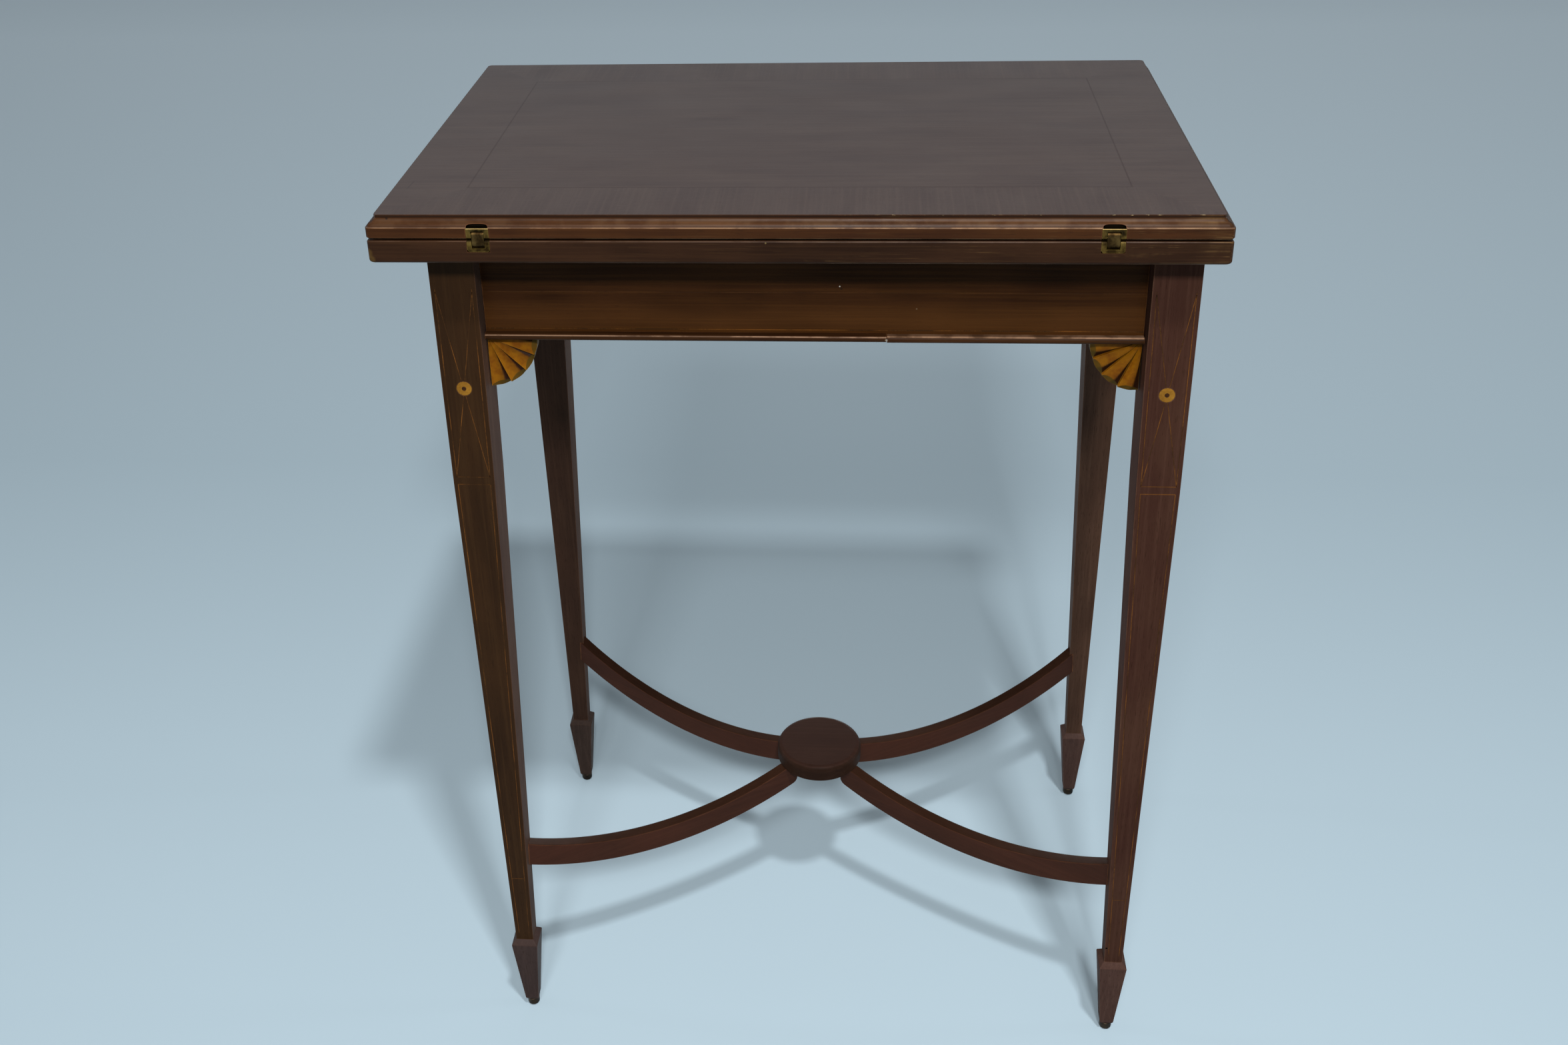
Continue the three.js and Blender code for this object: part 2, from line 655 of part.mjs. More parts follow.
// What the link sweeps inside a leaf. A leaf's own height counts from its playing surface
// into the wood, and side is -1 for the lower leaf and 1 for the upper leaf.
function spanZ(surface, side, from, to) {
  const a = surface + side * from;
  const b = surface + side * to;
  return [Math.min(a, b), Math.max(a, b)];
}

function linkSlot(surface, side) {
  const halfWidth = LINK_WIDTH / 2 + WORK_GAP;
  const [z0, z1] = spanZ(surface, side, -OVERRUN, PIN_DEPTH + LINK_END_RADIUS + BORE_CLEARANCE);
  return block(
    -halfWidth, halfWidth,
    -topHalfDepth - OVERRUN, hingeY + LINK_END_RADIUS + BORE_CLEARANCE, z0, z1,
  );
}

// Near the hinged edge both leaves keep inside a circle round their pins, so that they roll
// past each other as the links turn.
function rollRelief(surface, side, halfLength) {
  const [z0, z1] = spanZ(surface, side, -OVERRUN, PIN_DEPTH);
  const corner = block(-halfLength, halfLength, -topHalfDepth - OVERRUN, hingeY, z0, z1);
  const pinZ = surface + side * PIN_DEPTH;
  const roll = crossBar(rollRadius, halfLength + OVERRUN, hingeY, pinZ, 3 * SMALL_ROUND_STEPS);
  return solidOf(corner).subtract(solidOf(roll));
}

function plateBlank(surface, side, cheekHeight, clearance) {
  const halfWidth = PLATE_WIDTH / 2 + clearance;
  const outside = clearance > 0 ? OVERRUN : 0;
  const [cheek0, cheek1] = spanZ(surface, side, -outside, cheekHeight + clearance);
  const [flange0, flange1] = spanZ(surface, side, -outside, PLATE_FLANGE_THICKNESS + clearance);
  const cheeks = block(
    -halfWidth, halfWidth,
    -topHalfDepth - outside, -topHalfDepth + PLATE_CHEEK_DEPTH + clearance, cheek0, cheek1,
  );
  const flange = block(
    -halfWidth, halfWidth,
    -topHalfDepth - outside, -topHalfDepth + PLATE_FLANGE_LENGTH + clearance, flange0, flange1,
  );
  return solidOf(cheeks).add(solidOf(flange));
}

const upperCheekHeight = UPPER_LEAF_THICKNESS - MOULDING_DROP - EASED_ARRIS;
const lowerCheekHeight = PIN_DEPTH + LINK_END_RADIUS + BORE_CLEARANCE + PLATE_WALL;

function buildHinges() {
  const halves = [
    { name: 'lower', surface: playingHeight, side: -1, cheek: lowerCheekHeight, pinZ: lowerPinZ },
    { name: 'upper', surface: upperLeafBottom, side: 1, cheek: upperCheekHeight, pinZ: upperPinZ },
  ];
  const pinHalf = PLATE_WIDTH / 2 - GLUE_GAP;
  for (const half of halves) {
    const bore = crossBar(PIN_RADIUS + ROLL_CLEARANCE, PLATE_WIDTH / 2 + OVERRUN, hingeY, half.pinZ);
    const plate = plateBlank(half.surface, half.side, half.cheek, 0)
      .subtract(solidOf(linkSlot(half.surface, half.side)))
      .subtract(rollRelief(half.surface, half.side, PLATE_WIDTH))
      .subtract(solidOf(bore));
    const pin = crossBar(PIN_RADIUS, pinHalf, hingeY, half.pinZ);
    for (const hinge of hinges) {
      const plateHere = moved(geometryOf(plate), hinge.x, 0, 0);
      addPiece(table, `hinge_plate_${half.name}_${hinge.name}`, plateHere, 'brass');
      addPiece(table, `hinge_pin_${half.name}_${hinge.name}`, moved(pin, hinge.x, 0, 0), 'brass');
    }
  }
  // A link is a bar with round ends. Its outline is drawn with x towards the front.
  const outline = new THREE.Shape();
  outline.absarc(0, 0, LINK_END_RADIUS, Math.PI, 2 * Math.PI, false);
  outline.absarc(0, pinSpacing, LINK_END_RADIUS, 0, Math.PI, false);
  outline.closePath();
  const link = new THREE.ExtrudeGeometry(outline, {
    depth: LINK_WIDTH, bevelEnabled: false, curveSegments: 10,
  });
  link.translate(0, 0, -LINK_WIDTH / 2);
  const upright = placed(link, new THREE.Matrix4().makeBasis(
    new THREE.Vector3(0, -1, 0), new THREE.Vector3(0, 0, 1), new THREE.Vector3(-1, 0, 0),
  ).setPosition(0, hingeY, lowerPinZ));
  let bored = solidOf(upright);
  for (const pinZ of [lowerPinZ, upperPinZ]) {
    const bore = crossBar(PIN_RADIUS + 2 * ROLL_CLEARANCE, LINK_WIDTH / 2 + OVERRUN, hingeY, pinZ);
    bored = bored.subtract(solidOf(bore));
  }
  for (const hinge of hinges) {
    addPiece(table, `hinge_link_${hinge.name}`, moved(geometryOf(bored), hinge.x, 0, 0), 'brass');
  }
}

// Leaves
function leafLayers(layers) {
  return skinRings(layers.map(([inset, z]) => roundedRing(
    topHalfLength - inset, topHalfDepth - inset, LEAF_CORNER_RADIUS, z,
  )));
}

function upperLeafProfile() {
  const stepTop = TOTAL_HEIGHT - MOULDING_DROP;
  const layers = [[EASED_ARRIS, upperLeafBottom], [0, upperLeafBottom + EASED_ARRIS], [0, stepTop]];
  const curveHeight = MOULDING_DROP - MOULDING_QUIRK;
  const curveSteps = 8;
  // An S-shaped curve: hollow beside the step and full under the quirk
  for (let step = 1; step <= curveSteps; step += 1) {
    const share = step / curveSteps;
    const swing = share - Math.sin(2 * Math.PI * share) / (2 * Math.PI);
    layers.push([
      MOULDING_REACH * THREE.MathUtils.lerp(share, swing, MOULDING_PLAIN_SHARE),
      stepTop + curveHeight * THREE.MathUtils.lerp(swing, share, MOULDING_PLAIN_SHARE),
    ]);
  }
  layers.push([MOULDING_REACH, TOTAL_HEIGHT]);
  return layers;
}

function lowerLeafProfile() {
  const layers = [];
  const roundSteps = 4;
  for (let step = 0; step <= roundSteps; step += 1) {
    const angle = (step / roundSteps) * Math.PI / 2;
    layers.push([
      LOWER_ARRIS_RADIUS * (1 - Math.sin(angle)),
      lowerLeafBottom + LOWER_ARRIS_RADIUS * (1 - Math.cos(angle)),
    ]);
  }
  layers.push([0, playingHeight - EASED_ARRIS], [EASED_ARRIS, playingHeight]);
  return layers;
}

function clothBlock(clearance, z0, z1) {
  const halfX = topHalfLength - BAND_WIDTH + clearance;
  const halfY = topHalfDepth - BAND_WIDTH + clearance;
  return block(-halfX, halfX, -halfY, halfY, z0, z1);
}

function cutForHinges(leaf, surface, side, cheekHeight) {
  let cut = leaf.subtract(rollRelief(surface, side, topHalfLength + OVERRUN));
  for (const hinge of hinges) {
    const seat = plateBlank(surface, side, cheekHeight, GLUE_GAP);
    const slot = solidOf(linkSlot(surface, side));
    const both = geometryOf(seat.add(slot));
    cut = cut.subtract(solidOf(moved(both, hinge.x, 0, 0)));
  }
  return cut;
}

function buildLeaves() {
  const [lowRecess0, lowRecess1] = spanZ(playingHeight, -1, -OVERRUN, CLOTH_RECESS);
  let lower = solidOf(leafLayers(lowerLeafProfile()))
    .subtract(solidOf(clothBlock(GLUE_GAP, lowRecess0, lowRecess1)));
  lower = cutForHinges(lower, playingHeight, -1, lowerCheekHeight);
  const flangePocket = roundBar(
    BOLT_FLANGE_RADIUS + BORE_CLEARANCE, lowerLeafBottom - OVERRUN,
    lowerLeafBottom + BOLT_FLANGE_THICKNESS + WORK_GAP,
  );
  lower = lower.subtract(solidOf(moved(flangePocket, pivot.x, pivot.y, 0)));
  addPiece(table, 'lower_leaf', geometryOf(lower), 'mahogany');

  const [highRecess0, highRecess1] = spanZ(upperLeafBottom, 1, -OVERRUN, CLOTH_RECESS);
  let upper = solidOf(leafLayers(upperLeafProfile()))
    .subtract(solidOf(clothBlock(GLUE_GAP, highRecess0, highRecess1)));
  upper = cutForHinges(upper, upperLeafBottom, 1, upperCheekHeight);
  // A small pocket above each hinge, where the moulding was cut to let the plate in
  const pocketTop = upperLeafBottom + upperCheekHeight + GLUE_GAP + HINGE_POCKET_HEIGHT;
  const pocket = block(
    -HINGE_POCKET_WIDTH / 2, HINGE_POCKET_WIDTH / 2,
    -topHalfDepth - OVERRUN, -topHalfDepth + HINGE_POCKET_DEPTH,
    upperLeafBottom + upperCheekHeight, pocketTop,
  );
  for (const hinge of hinges) {
    upper = upper.subtract(solidOf(moved(pocket, hinge.x, 0, 0)));
  }
  addPiece(table, 'upper_leaf', geometryOf(upper), 'mahoganyTop');

  const clothBack = CLOTH_RECESS - GLUE_GAP;
  const [low0, low1] = spanZ(playingHeight, -1, clothBack - CLOTH_THICKNESS, clothBack);
  addPiece(table, 'lower_cloth', clothBlock(0, low0, low1), 'cloth');
  const [high0, high1] = spanZ(upperLeafBottom, 1, clothBack - CLOTH_THICKNESS, clothBack);
  addPiece(table, 'upper_cloth', clothBlock(0, high0, high1), 'cloth');
}

buildLegs();
buildFeet();
buildAprons();
buildFans();
buildStretcher();
buildSwivel();
buildLeaves();
buildHinges();

export default table;
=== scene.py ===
"""Folding game table, dressed: woods, inlay, brass, baize, floor, lamps and camera.

Lengths are in millimetres until a piece is published. The origin is on the floor under the
middle of the closed top, and the front of the table faces -Y.
"""

import functools
import logging
import math
from dataclasses import dataclass, replace
from enum import Enum
from typing import Any, Callable, Iterable, Sequence

import bmesh
import bpy
from mathutils import Matrix, Vector


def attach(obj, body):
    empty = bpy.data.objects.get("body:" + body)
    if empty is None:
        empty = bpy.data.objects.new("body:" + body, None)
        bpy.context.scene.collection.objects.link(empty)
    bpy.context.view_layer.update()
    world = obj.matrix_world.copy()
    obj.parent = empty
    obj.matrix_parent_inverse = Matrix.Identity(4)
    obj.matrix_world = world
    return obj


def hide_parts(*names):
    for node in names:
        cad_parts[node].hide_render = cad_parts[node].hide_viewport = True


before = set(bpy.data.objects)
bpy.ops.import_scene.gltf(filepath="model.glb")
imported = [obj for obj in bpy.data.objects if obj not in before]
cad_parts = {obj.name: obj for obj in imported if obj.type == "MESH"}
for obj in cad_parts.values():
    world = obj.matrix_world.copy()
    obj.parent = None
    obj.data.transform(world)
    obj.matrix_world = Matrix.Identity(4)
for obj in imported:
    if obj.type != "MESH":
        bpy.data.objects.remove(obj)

MM = 0.001
QUARTER = math.pi / 2
LOG = logging.getLogger("game_table")
Point = tuple[float, float, float]
Pair = tuple[float, float]
Tree = bpy.types.NodeTree
Node = bpy.types.Node
Socket = bpy.types.NodeSocket
Solid = bmesh.types.BMesh
PETAL_SHADE = "petal_shade"
PETAL_END = "petal_end"


class Body(Enum):
    """The bodies of the mechanism that a piece can ride on."""

    FRAME = "frame"
    TURNING_LEAF = "turning_leaf"
    HINGE_LINKS = "hinge_links"
    FOLDING_LEAF = "folding_leaf"


class Slot(Enum):
    """The material slots of the record."""

    MAHOGANY = "mahogany"
    MAHOGANY_TOP = "mahogany_top"
    SECONDARY_WOOD = "secondary_wood"
    SATINWOOD = "satinwood"
    BOXWOOD = "boxwood"
    BRASS = "brass"
    STEEL = "steel"
    CLOTH = "cloth"


class Corner(Enum):
    """The four corners of the frame: the name in the node names, and the signs of X and Y."""

    FRONT_LEFT = ("front_left", -1, -1)
    FRONT_RIGHT = ("front_right", 1, -1)
    BACK_LEFT = ("back_left", -1, 1)
    BACK_RIGHT = ("back_right", 1, 1)

    def __init__(self, label: str, sx: int, sy: int) -> None:
        """Keeps the corner's name and signs."""
        self.label, self.sx, self.sy = label, sx, sy


class Face(Enum):
    """The outer faces of a leg: the one beside a long apron, and the one beside a short one."""

    LONG = "long"
    SHORT = "short"


@dataclass(frozen=True)
class Plan:
    """The sizes that several parts of the table share."""

    top_half_x: float = 279.5
    top_half_y: float = 185.0
    top: float = 746.0
    upper_leaf_bottom: float = 731.0
    playing_height: float = 729.6
    lower_leaf_bottom: float = 713.6
    frame_top: float = 713.3
    apron_bottom: float = 641.3
    apron_recess: float = 15.0
    frame_x: float = 10.0
    frame_half_x: float = 258.0
    frame_half_y: float = 159.0
    inner_half_x: float = 226.0
    inner_half_y: float = 127.0
    foot_x: float = 245.96
    foot_y: float = 146.96
    hinge_x: float = 204.5
    hinge_y: float = -182.4
    pin_depth: float = 2.4
    pivot: float = -87.5
    glue_gap: float = 0.2


PLAN = Plan()
ARM_BEARING = math.atan2(PLAN.foot_y, PLAN.foot_x)


class Leaf(Enum):
    """The two leaves: the name in the node names, the height of the playing surface, the side
    of it that the wood is on (1 above, -1 below), and the body."""

    LOWER = ("lower", PLAN.playing_height, -1, Body.TURNING_LEAF)
    UPPER = ("upper", PLAN.upper_leaf_bottom, 1, Body.FOLDING_LEAF)

    def __init__(self, label: str, surface: float, side: int, body: Body) -> None:
        """Keeps the leaf's name, surface, side and body."""
        self.label, self.surface, self.side, self.body = label, surface, side, body


class Grain(Enum):
    """Which way the grain runs, as the turn that brings it to the pattern's X axis."""

    ALONG_X = (0.0, 0.0, 0.0)
    ALONG_Y = (0.0, 0.0, -QUARTER)
    ALONG_Z = (0.0, QUARTER, 0.0)
    RISING = (0.0, 0.0, -ARM_BEARING)
    FALLING = (0.0, 0.0, ARM_BEARING)


def srgb(code: str) -> tuple[float, float, float, float]:
    """Turns an sRGB hex colour into the linear colour that shaders take.

    Args:
        code: the colour as "#rrggbb".

    Returns:
        Linear red, green and blue, and full opacity.
    """
    channels = [int(code[i : i + 2], 16) / 255 for i in (1, 3, 5)]
    linear = [c / 12.92 if c <= 0.04045 else ((c + 0.055) / 1.055) ** 2.4 for c in channels]
    return (linear[0], linear[1], linear[2], 1.0)


def feed(tree: Tree, node: Node, inputs: dict[Any, Any]) -> None:
    """Sets a node's inputs, by name or number, and links those whose value is an output."""
    for key, value in inputs.items():
        if isinstance(value, Socket):
            tree.links.new(value, node.inputs[key])
        else:
            node.inputs[key].default_value = value


def add_node(tree: Tree, kind: str, inputs: dict[Any, Any] | None = None, **settings: Any) -> Node:
    """Adds a shader node with its settings, values and links.

    Args:
        tree: the node tree it goes into.
        kind: the node's type without "ShaderNode".
        inputs: a value, or an output to link, for each input by name or number.
        settings: the node's own properties.

    Returns:
        The new node.
    """
    node = tree.nodes.new(f"ShaderNode{kind}")
    for name, value in settings.items():
        setattr(node, name, value)
    feed(tree, node, inputs or {})
    return node


def reckoned(tree: Tree, operation: str, *values: Any) -> Socket:
    """Returns what a Math node makes of numbers and outputs."""
    return add_node(tree, "Math", dict(enumerate(values)), operation=operation).outputs[0]


def product(tree: Tree, *values: Any) -> Socket:
    """Returns the product of masks and numbers."""
    return functools.reduce(functools.partial(reckoned, tree, "MULTIPLY"), values)


def mixed(tree: Tree, mask: Any, under: Any, over: Any) -> Socket:
    """Lays one colour over another; each is an output or "#rrggbb".

    Args:
        tree: the node tree.
        mask: how much of the upper colour shows.
        under: the lower colour.
        over: the upper colour.

    Returns:
        The mixed colour.
    """
    lower, upper = (srgb(part) if isinstance(part, str) else part for part in (under, over))
    return add_node(tree, "Mix", {0: mask, 6: lower, 7: upper}, data_type="RGBA").outputs[2]


def noise(tree: Tree, space: Socket, along: float, across: float, detail: float) -> Socket:
    """Draws noise whose marks are longer along X than across it.

    Args:
        tree: the node tree.
        space: coordinates in metres, turned so that the grain runs along X.
        along: the length of a mark in mm.
        across: the width of a mark in mm.
        detail: how many finer layers the noise has.

    Returns:
        The noise, from 0 to 1.
    """
    stretch = (1 / (along * MM), 1 / (across * MM), 1 / (across * MM))
    marks = add_node(tree, "Mapping", {"Vector": space, "Scale": stretch}).outputs[0]
    values = {"Vector": marks, "Scale": 1.0, "Detail": detail, "Roughness": 0.55}
    return add_node(tree, "TexNoise", values).outputs[0]


def sharpened(
    tree: Tree, value: Any, low: float, high: float, start: float = 0, end: float = 1
) -> Socket:
    """Spreads the part of a value between two levels over a new range, and clamps it.

    Args:
        tree: the node tree.
        value: the socket to spread.
        low: the level that becomes start.
        high: the level that becomes end.
        start: the result at the low level.
        end: the result at the high level.

    Returns:
        The spread value.
    """
    values = {"Value": value, "From Min": low, "From Max": high, "To Min": start, "To Max": end}
    return add_node(tree, "MapRange", values).outputs[0]


def along_grain(tree: Tree, space: Socket, grain: Grain) -> Socket:
    """Turns coordinates so that the grain runs along X."""
    return add_node(tree, "Mapping", {"Vector": space, "Rotation": grain.value}).outputs[0]


def bumped(tree: Tree, height: Socket, strength: float, depth: float) -> Socket:
    """Returns the normal of a relief that is a depth in mm at full height."""
    values = {"Strength": strength, "Distance": depth * MM, "Height": height}
    return add_node(tree, "Bump", values).outputs[0]


def edge_mask(tree: Tree, radius: float) -> Socket:
    """Finds where a surface is close to an edge, by how far a rounded normal turns.

    Args:
        tree: the node tree.
        radius: how far from the edge the mask reaches, in mm.

    Returns:
        0 on flat ground and up to 1 on an edge.
    """
    rounded = add_node(tree, "Bevel", {"Radius": radius * MM}, samples=6).outputs[0]
    plain = add_node(tree, "NewGeometry").outputs["Normal"]
    turn = add_node(tree, "VectorMath", {0: rounded, 1: plain}, operation="DOT_PRODUCT")
    return sharpened(tree, turn.outputs["Value"], 0.995, 0.80)


@dataclass(frozen=True)
class Finish:
    """What a surface is made of and how it was finished."""

    name: str

    def paint(self, tree: Tree, shader: Node, space: Socket) -> None:
        """Drives the shader of the finish.

        Args:
            tree: the material's node tree.
            shader: its Principled shader.
            space: Object coordinates in metres.
        """
        raise NotImplementedError

    def material(self) -> bpy.types.Material:
        """Makes the material, with a shader that the finish drives."""
        made = bpy.data.materials.new(self.name)
        made.use_nodes = True
        tree = made.node_tree
        tree.nodes.clear()
        shader = add_node(tree, "BsdfPrincipled")
        add_node(tree, "OutputMaterial", {"Surface": shader.outputs[0]})
        self.paint(tree, shader, add_node(tree, "TexCoord").outputs["Object"])
        return made


@functools.cache
def material_of(finish: Finish) -> bpy.types.Material:
    """Returns the one material that a finish has."""
    return finish.material()


@dataclass(frozen=True)
class Spot:
    """A small mark: its middle and radius in mm, its colour and how much of it shows."""

    middle: Point
    radius: float
    colour: str
    strength: float = 1.0


@dataclass(frozen=True)
class PolishedWood(Finish):
    """Old French-polished mahogany: a dark red-brown film over short dark pores, rubbed pale
    and duller along its arrises, a paleness that is partly wear and partly painted highlight. The
    polish gives soft, slightly broken highlights."""

    grain: Grain
    dark: str
    mid: str
    light: str
    reflection: float
    worn_and_lit: str = "#7d5030"
    pore: str = "#1c0f07"
    gloss_low: float = 0.3
    gloss_high: float = 0.46
    wear_and_highlight: float = 0.7
    spots: tuple[Spot, ...] = ()

    def wood(self, tree: Tree, grain_space: Socket) -> tuple[Socket, Socket]:
        """Draws the figure, the streaks and the pores of the wood. The pores are coarser than
        real ones, about 9 mm long and up to 0.5 mm wide, so as to show.

        Args:
            tree: the node tree.
            grain_space: coordinates with the grain along X.

        Returns:
            The colour and the pore mask.
        """
        figure = sharpened(tree, noise(tree, grain_space, 75, 28, 2), 0.32, 0.68)
        streaks = sharpened(tree, noise(tree, grain_space, 150, 2.4, 3), 0.46, 0.8, 0, 0.7)
        pores = sharpened(tree, noise(tree, grain_space, 9, 0.5, 1), 0.60, 0.70)
        streaked = mixed(tree, streaks, mixed(tree, figure, self.dark, self.mid), self.light)
        return mixed(tree, product(tree, pores, 0.4), streaked, self.pore), pores

    def inlay(self, tree: Tree, space: Socket, colour: Socket) -> Socket:
        """Adds the finish's own marks to the plain wood, which has none."""
        return colour

    def spotted(self, tree: Tree, space: Socket, colour: Socket) -> Socket:
        """Draws the spots.

        Args:
            tree: the node tree.
            space: Object coordinates in metres.
            colour: the colour of the worn wood.

        Returns:
            The colour with the spots on it.
        """
        for spot in self.spots:
            middle = tuple(value * MM for value in spot.middle)
            away = add_node(tree, "VectorMath", {0: space, 1: middle}, operation="DISTANCE")
            reach = spot.radius * MM
            mask = sharpened(tree, away.outputs["Value"], reach, reach * 0.6, 0.0, spot.strength)
            colour = mixed(tree, mask, colour, spot.colour)
        return colour

    def paint(self, tree: Tree, shader: Node, space: Socket) -> None:
        """Drives the shader with wood under polish, worn along the arrises and painted paler there
        as a highlight.
        """
        grain_space = along_grain(tree, space, self.grain)
        colour, pores = self.wood(tree, grain_space)
        colour = self.inlay(tree, space, colour)
        patches = sharpened(tree, noise(tree, grain_space, 26, 9, 3), 0.34, 0.66, 0.15, self.wear_and_highlight)
        # Pale arrises: partly wear, partly painted highlight.
        rubbed_and_lit = product(tree, edge_mask(tree, 1.1), patches)
        film = noise(tree, grain_space, 60, 40, 4)
        gloss = sharpened(tree, film, 0.3, 0.7, self.gloss_low, self.gloss_high)
        relief = reckoned(tree, "MULTIPLY_ADD", pores, -0.35, noise(tree, grain_space, 22, 5, 3))
        feed(tree, shader, {
            "Base Color": self.spotted(tree, space, mixed(tree, rubbed_and_lit, colour, self.worn_and_lit)),
            "Roughness": reckoned(tree, "MULTIPLY_ADD", rubbed_and_lit, 0.18, gloss),
            "Specular IOR Level": self.reflection,
            "Normal": bumped(tree, relief, 0.35, 0.12),
        })


@dataclass(frozen=True)
class PolishedTop(PolishedWood):
    """The folded top: a quiet field inside a cross-grained band, with a fine dark joint
    between them, two short dark scratches and a film that mirrors the studio softly."""

    field_half_x: float = 222.5
    field_half_y: float = 128.0
    joint_width: float = 0.7
    joint: str = "#2a1710"
    scratch: str = "#150d0b"
    scratch_strength: float = 0.7
    scratch_half: Pair = (0.28, 0.6)
    scratches: tuple[tuple[float, float, float, float], ...] = (
        (-264.5, -131.4, -263.0, -113.9),
        (-28.4, 7.7, -20.1, 12.1),
    )

    def inlay(self, tree: Tree, space: Socket, colour: Socket) -> Socket:
        """Lays the cross-grained band, its joint and the scratches over the field.

        Args:
            tree: the node tree.
            space: Object coordinates in metres.
            colour: the field's colour.

        Returns:
            The colour with the band and its marks.
        """
        parts = add_node(tree, "SeparateXYZ", {0: space}).outputs[:2]
        past_x, past_y = (
            reckoned(tree, "SUBTRACT", reckoned(tree, "ABSOLUTE", part), half * MM)
            for part, half in zip(parts, (self.field_half_x, self.field_half_y))
        )
        banded = product(
            tree, reckoned(tree, "GREATER_THAN", past_y, past_x),
            reckoned(tree, "GREATER_THAN", past_y, 0.0),
        )
        band_colour, _ = self.wood(tree, along_grain(tree, space, Grain.ALONG_Y))
        colour = mixed(tree, banded, colour, band_colour)
        off_joint = reckoned(tree, "ABSOLUTE", reckoned(tree, "MAXIMUM", past_x, past_y))
        width = self.joint_width * MM
        on_joint = sharpened(tree, off_joint, width * 0.5, width, 0.5, 0)
        colour = mixed(tree, on_joint, colour, self.joint)
        for ends in self.scratches:
            colour = mixed(tree, self.scratch_mask(tree, space, *ends), colour, self.scratch)
        return colour

    def scratch_mask(
        self, tree: Tree, space: Socket, x0: float, y0: float, x1: float, y1: float
    ) -> Socket:
        """Marks a thin scratch between two points of the top.

        Args:
            tree: the node tree.
            space: Object coordinates in metres.
            x0: where it starts along X, in mm.
            y0: where it starts along Y.
            x1: where it ends along X.
            y1: where it ends along Y.

        Returns:
            The mask of the scratch.
        """
        middle = ((x0 + x1) / 2 * MM, (y0 + y1) / 2 * MM, PLAN.top * MM)
        run = Vector((x1 - x0, y1 - y0))
        turn = (0.0, 0.0, -math.atan2(run.y, run.x))
        centred = add_node(tree, "VectorMath", {0: space, 1: middle}, operation="SUBTRACT")
        along = add_node(tree, "Mapping", {"Vector": centred.outputs[0], "Rotation": turn})
        parts = add_node(tree, "SeparateXYZ", {0: along.outputs[0]}).outputs
        masks = [
            sharpened(tree, reckoned(tree, "ABSOLUTE", part), half * MM, half * 0.6 * MM)
            for part, half in zip(parts, (run.length / 2, *self.scratch_half))
        ]
        return product(tree, *masks, self.scratch_strength)


@dataclass(frozen=True)
class WornEdge(PolishedWood):
    """A polished edge. Pale lines run along its arrises, thin and broken, most of all at the
    right: partly wood rubbed through by handling, partly painted highlight. Dark lines run along
    it too, one along the quirk, and where they stand for shade they are painted shade. Each line
    has a height, half its thickness and a strength; a thicker one than widest_line is an even
    band, which on the aprons is painted light."""

    rubbed_and_lit: str = "#b08a66"
    bruised: str = "#6d5230"
    dark_line: str = "#140d09"
    chipped: str = "#c4ad7c"
    worn_and_lit_lines: tuple[Point, ...] = ()
    dark_lines: tuple[Point, ...] = ()
    chip_height: float = 745.9
    widest_line: float = 5.0
    scuffs: float = 0.0

    def line_at(self, tree: Tree, height: Socket, level: float, half: float) -> Socket:
        """Marks a level line round the leaf.

        Args:
            tree: the node tree.
            height: the height in metres.
            level: the line's height in mm.
            half: half its thickness in mm.

        Returns:
            1 on the line and 0 off it.
        """
        off = reckoned(tree, "ABSOLUTE", reckoned(tree, "SUBTRACT", height, level * MM))
        return sharpened(tree, off, half * MM, half * 0.55 * MM)

    def inlay(self, tree: Tree, space: Socket, colour: Socket) -> Socket:
        """Draws the dark lines, the pale lines of wear and painted highlight, the bruised right
        corner and the chips.

        Args:
            tree: the node tree.
            space: Object coordinates in metres.
            colour: the wood's colour.

        Returns:
            The colour with the marks on it.
        """
        x, y, height = add_node(tree, "SeparateXYZ", {0: space}).outputs[:3]
        patches = noise(tree, space, 16, 16, 4)
        grazes = noise(tree, space, 45, 0.55, 2)
        crumbs = noise(tree, space, 3.4, 0.8, 2)
        broken = sharpened(tree, patches, 0.4, 0.56, 0.3, 1.0)
        to_right = sharpened(tree, x, -0.28, 0.2, 0.55, 1.0)
        marks: list[tuple[Sequence[Any], str]] = [
            # Dark lines along the edge; some of them are painted shade.
            ((self.line_at(tree, height, level, half), strength), self.dark_line)
            for level, half, strength in self.dark_lines
        ]
        # Pale lines: partly wear, partly painted highlight, and painted light where they are even
        # bands.
        for level, half, strength in self.worn_and_lit_lines:
            line = self.line_at(tree, height, level, half)
            uneven = broken if half < self.widest_line else 1.0
            marks.append(((line, uneven, to_right, strength), self.rubbed_and_lit))
        corner = (
            sharpened(tree, x, 0.255, 0.277), sharpened(tree, y, -0.165, -0.18),
            sharpened(tree, grazes, 0.52, 0.66, 0.05, 0.8), sharpened(tree, patches, 0.3, 0.5),
        )
        scuffed = (
            sharpened(tree, grazes, 0.6, 0.72), sharpened(tree, patches, 0.44, 0.56),
            sharpened(tree, x, -0.15, 0.25), self.scuffs,
        )
        chips = (
            self.line_at(tree, height, self.chip_height, 0.5),
            sharpened(tree, crumbs, 0.58, 0.68, 0.0, 0.6), sharpened(tree, x, 0.02, 0.1),
            sharpened(tree, patches, 0.45, 0.55),
        )
        marks += [(corner, self.bruised), (scuffed, self.bruised), (chips, self.chipped)]
        for masks, mark in marks:
            colour = mixed(tree, product(tree, *masks), colour, mark)
        return colour


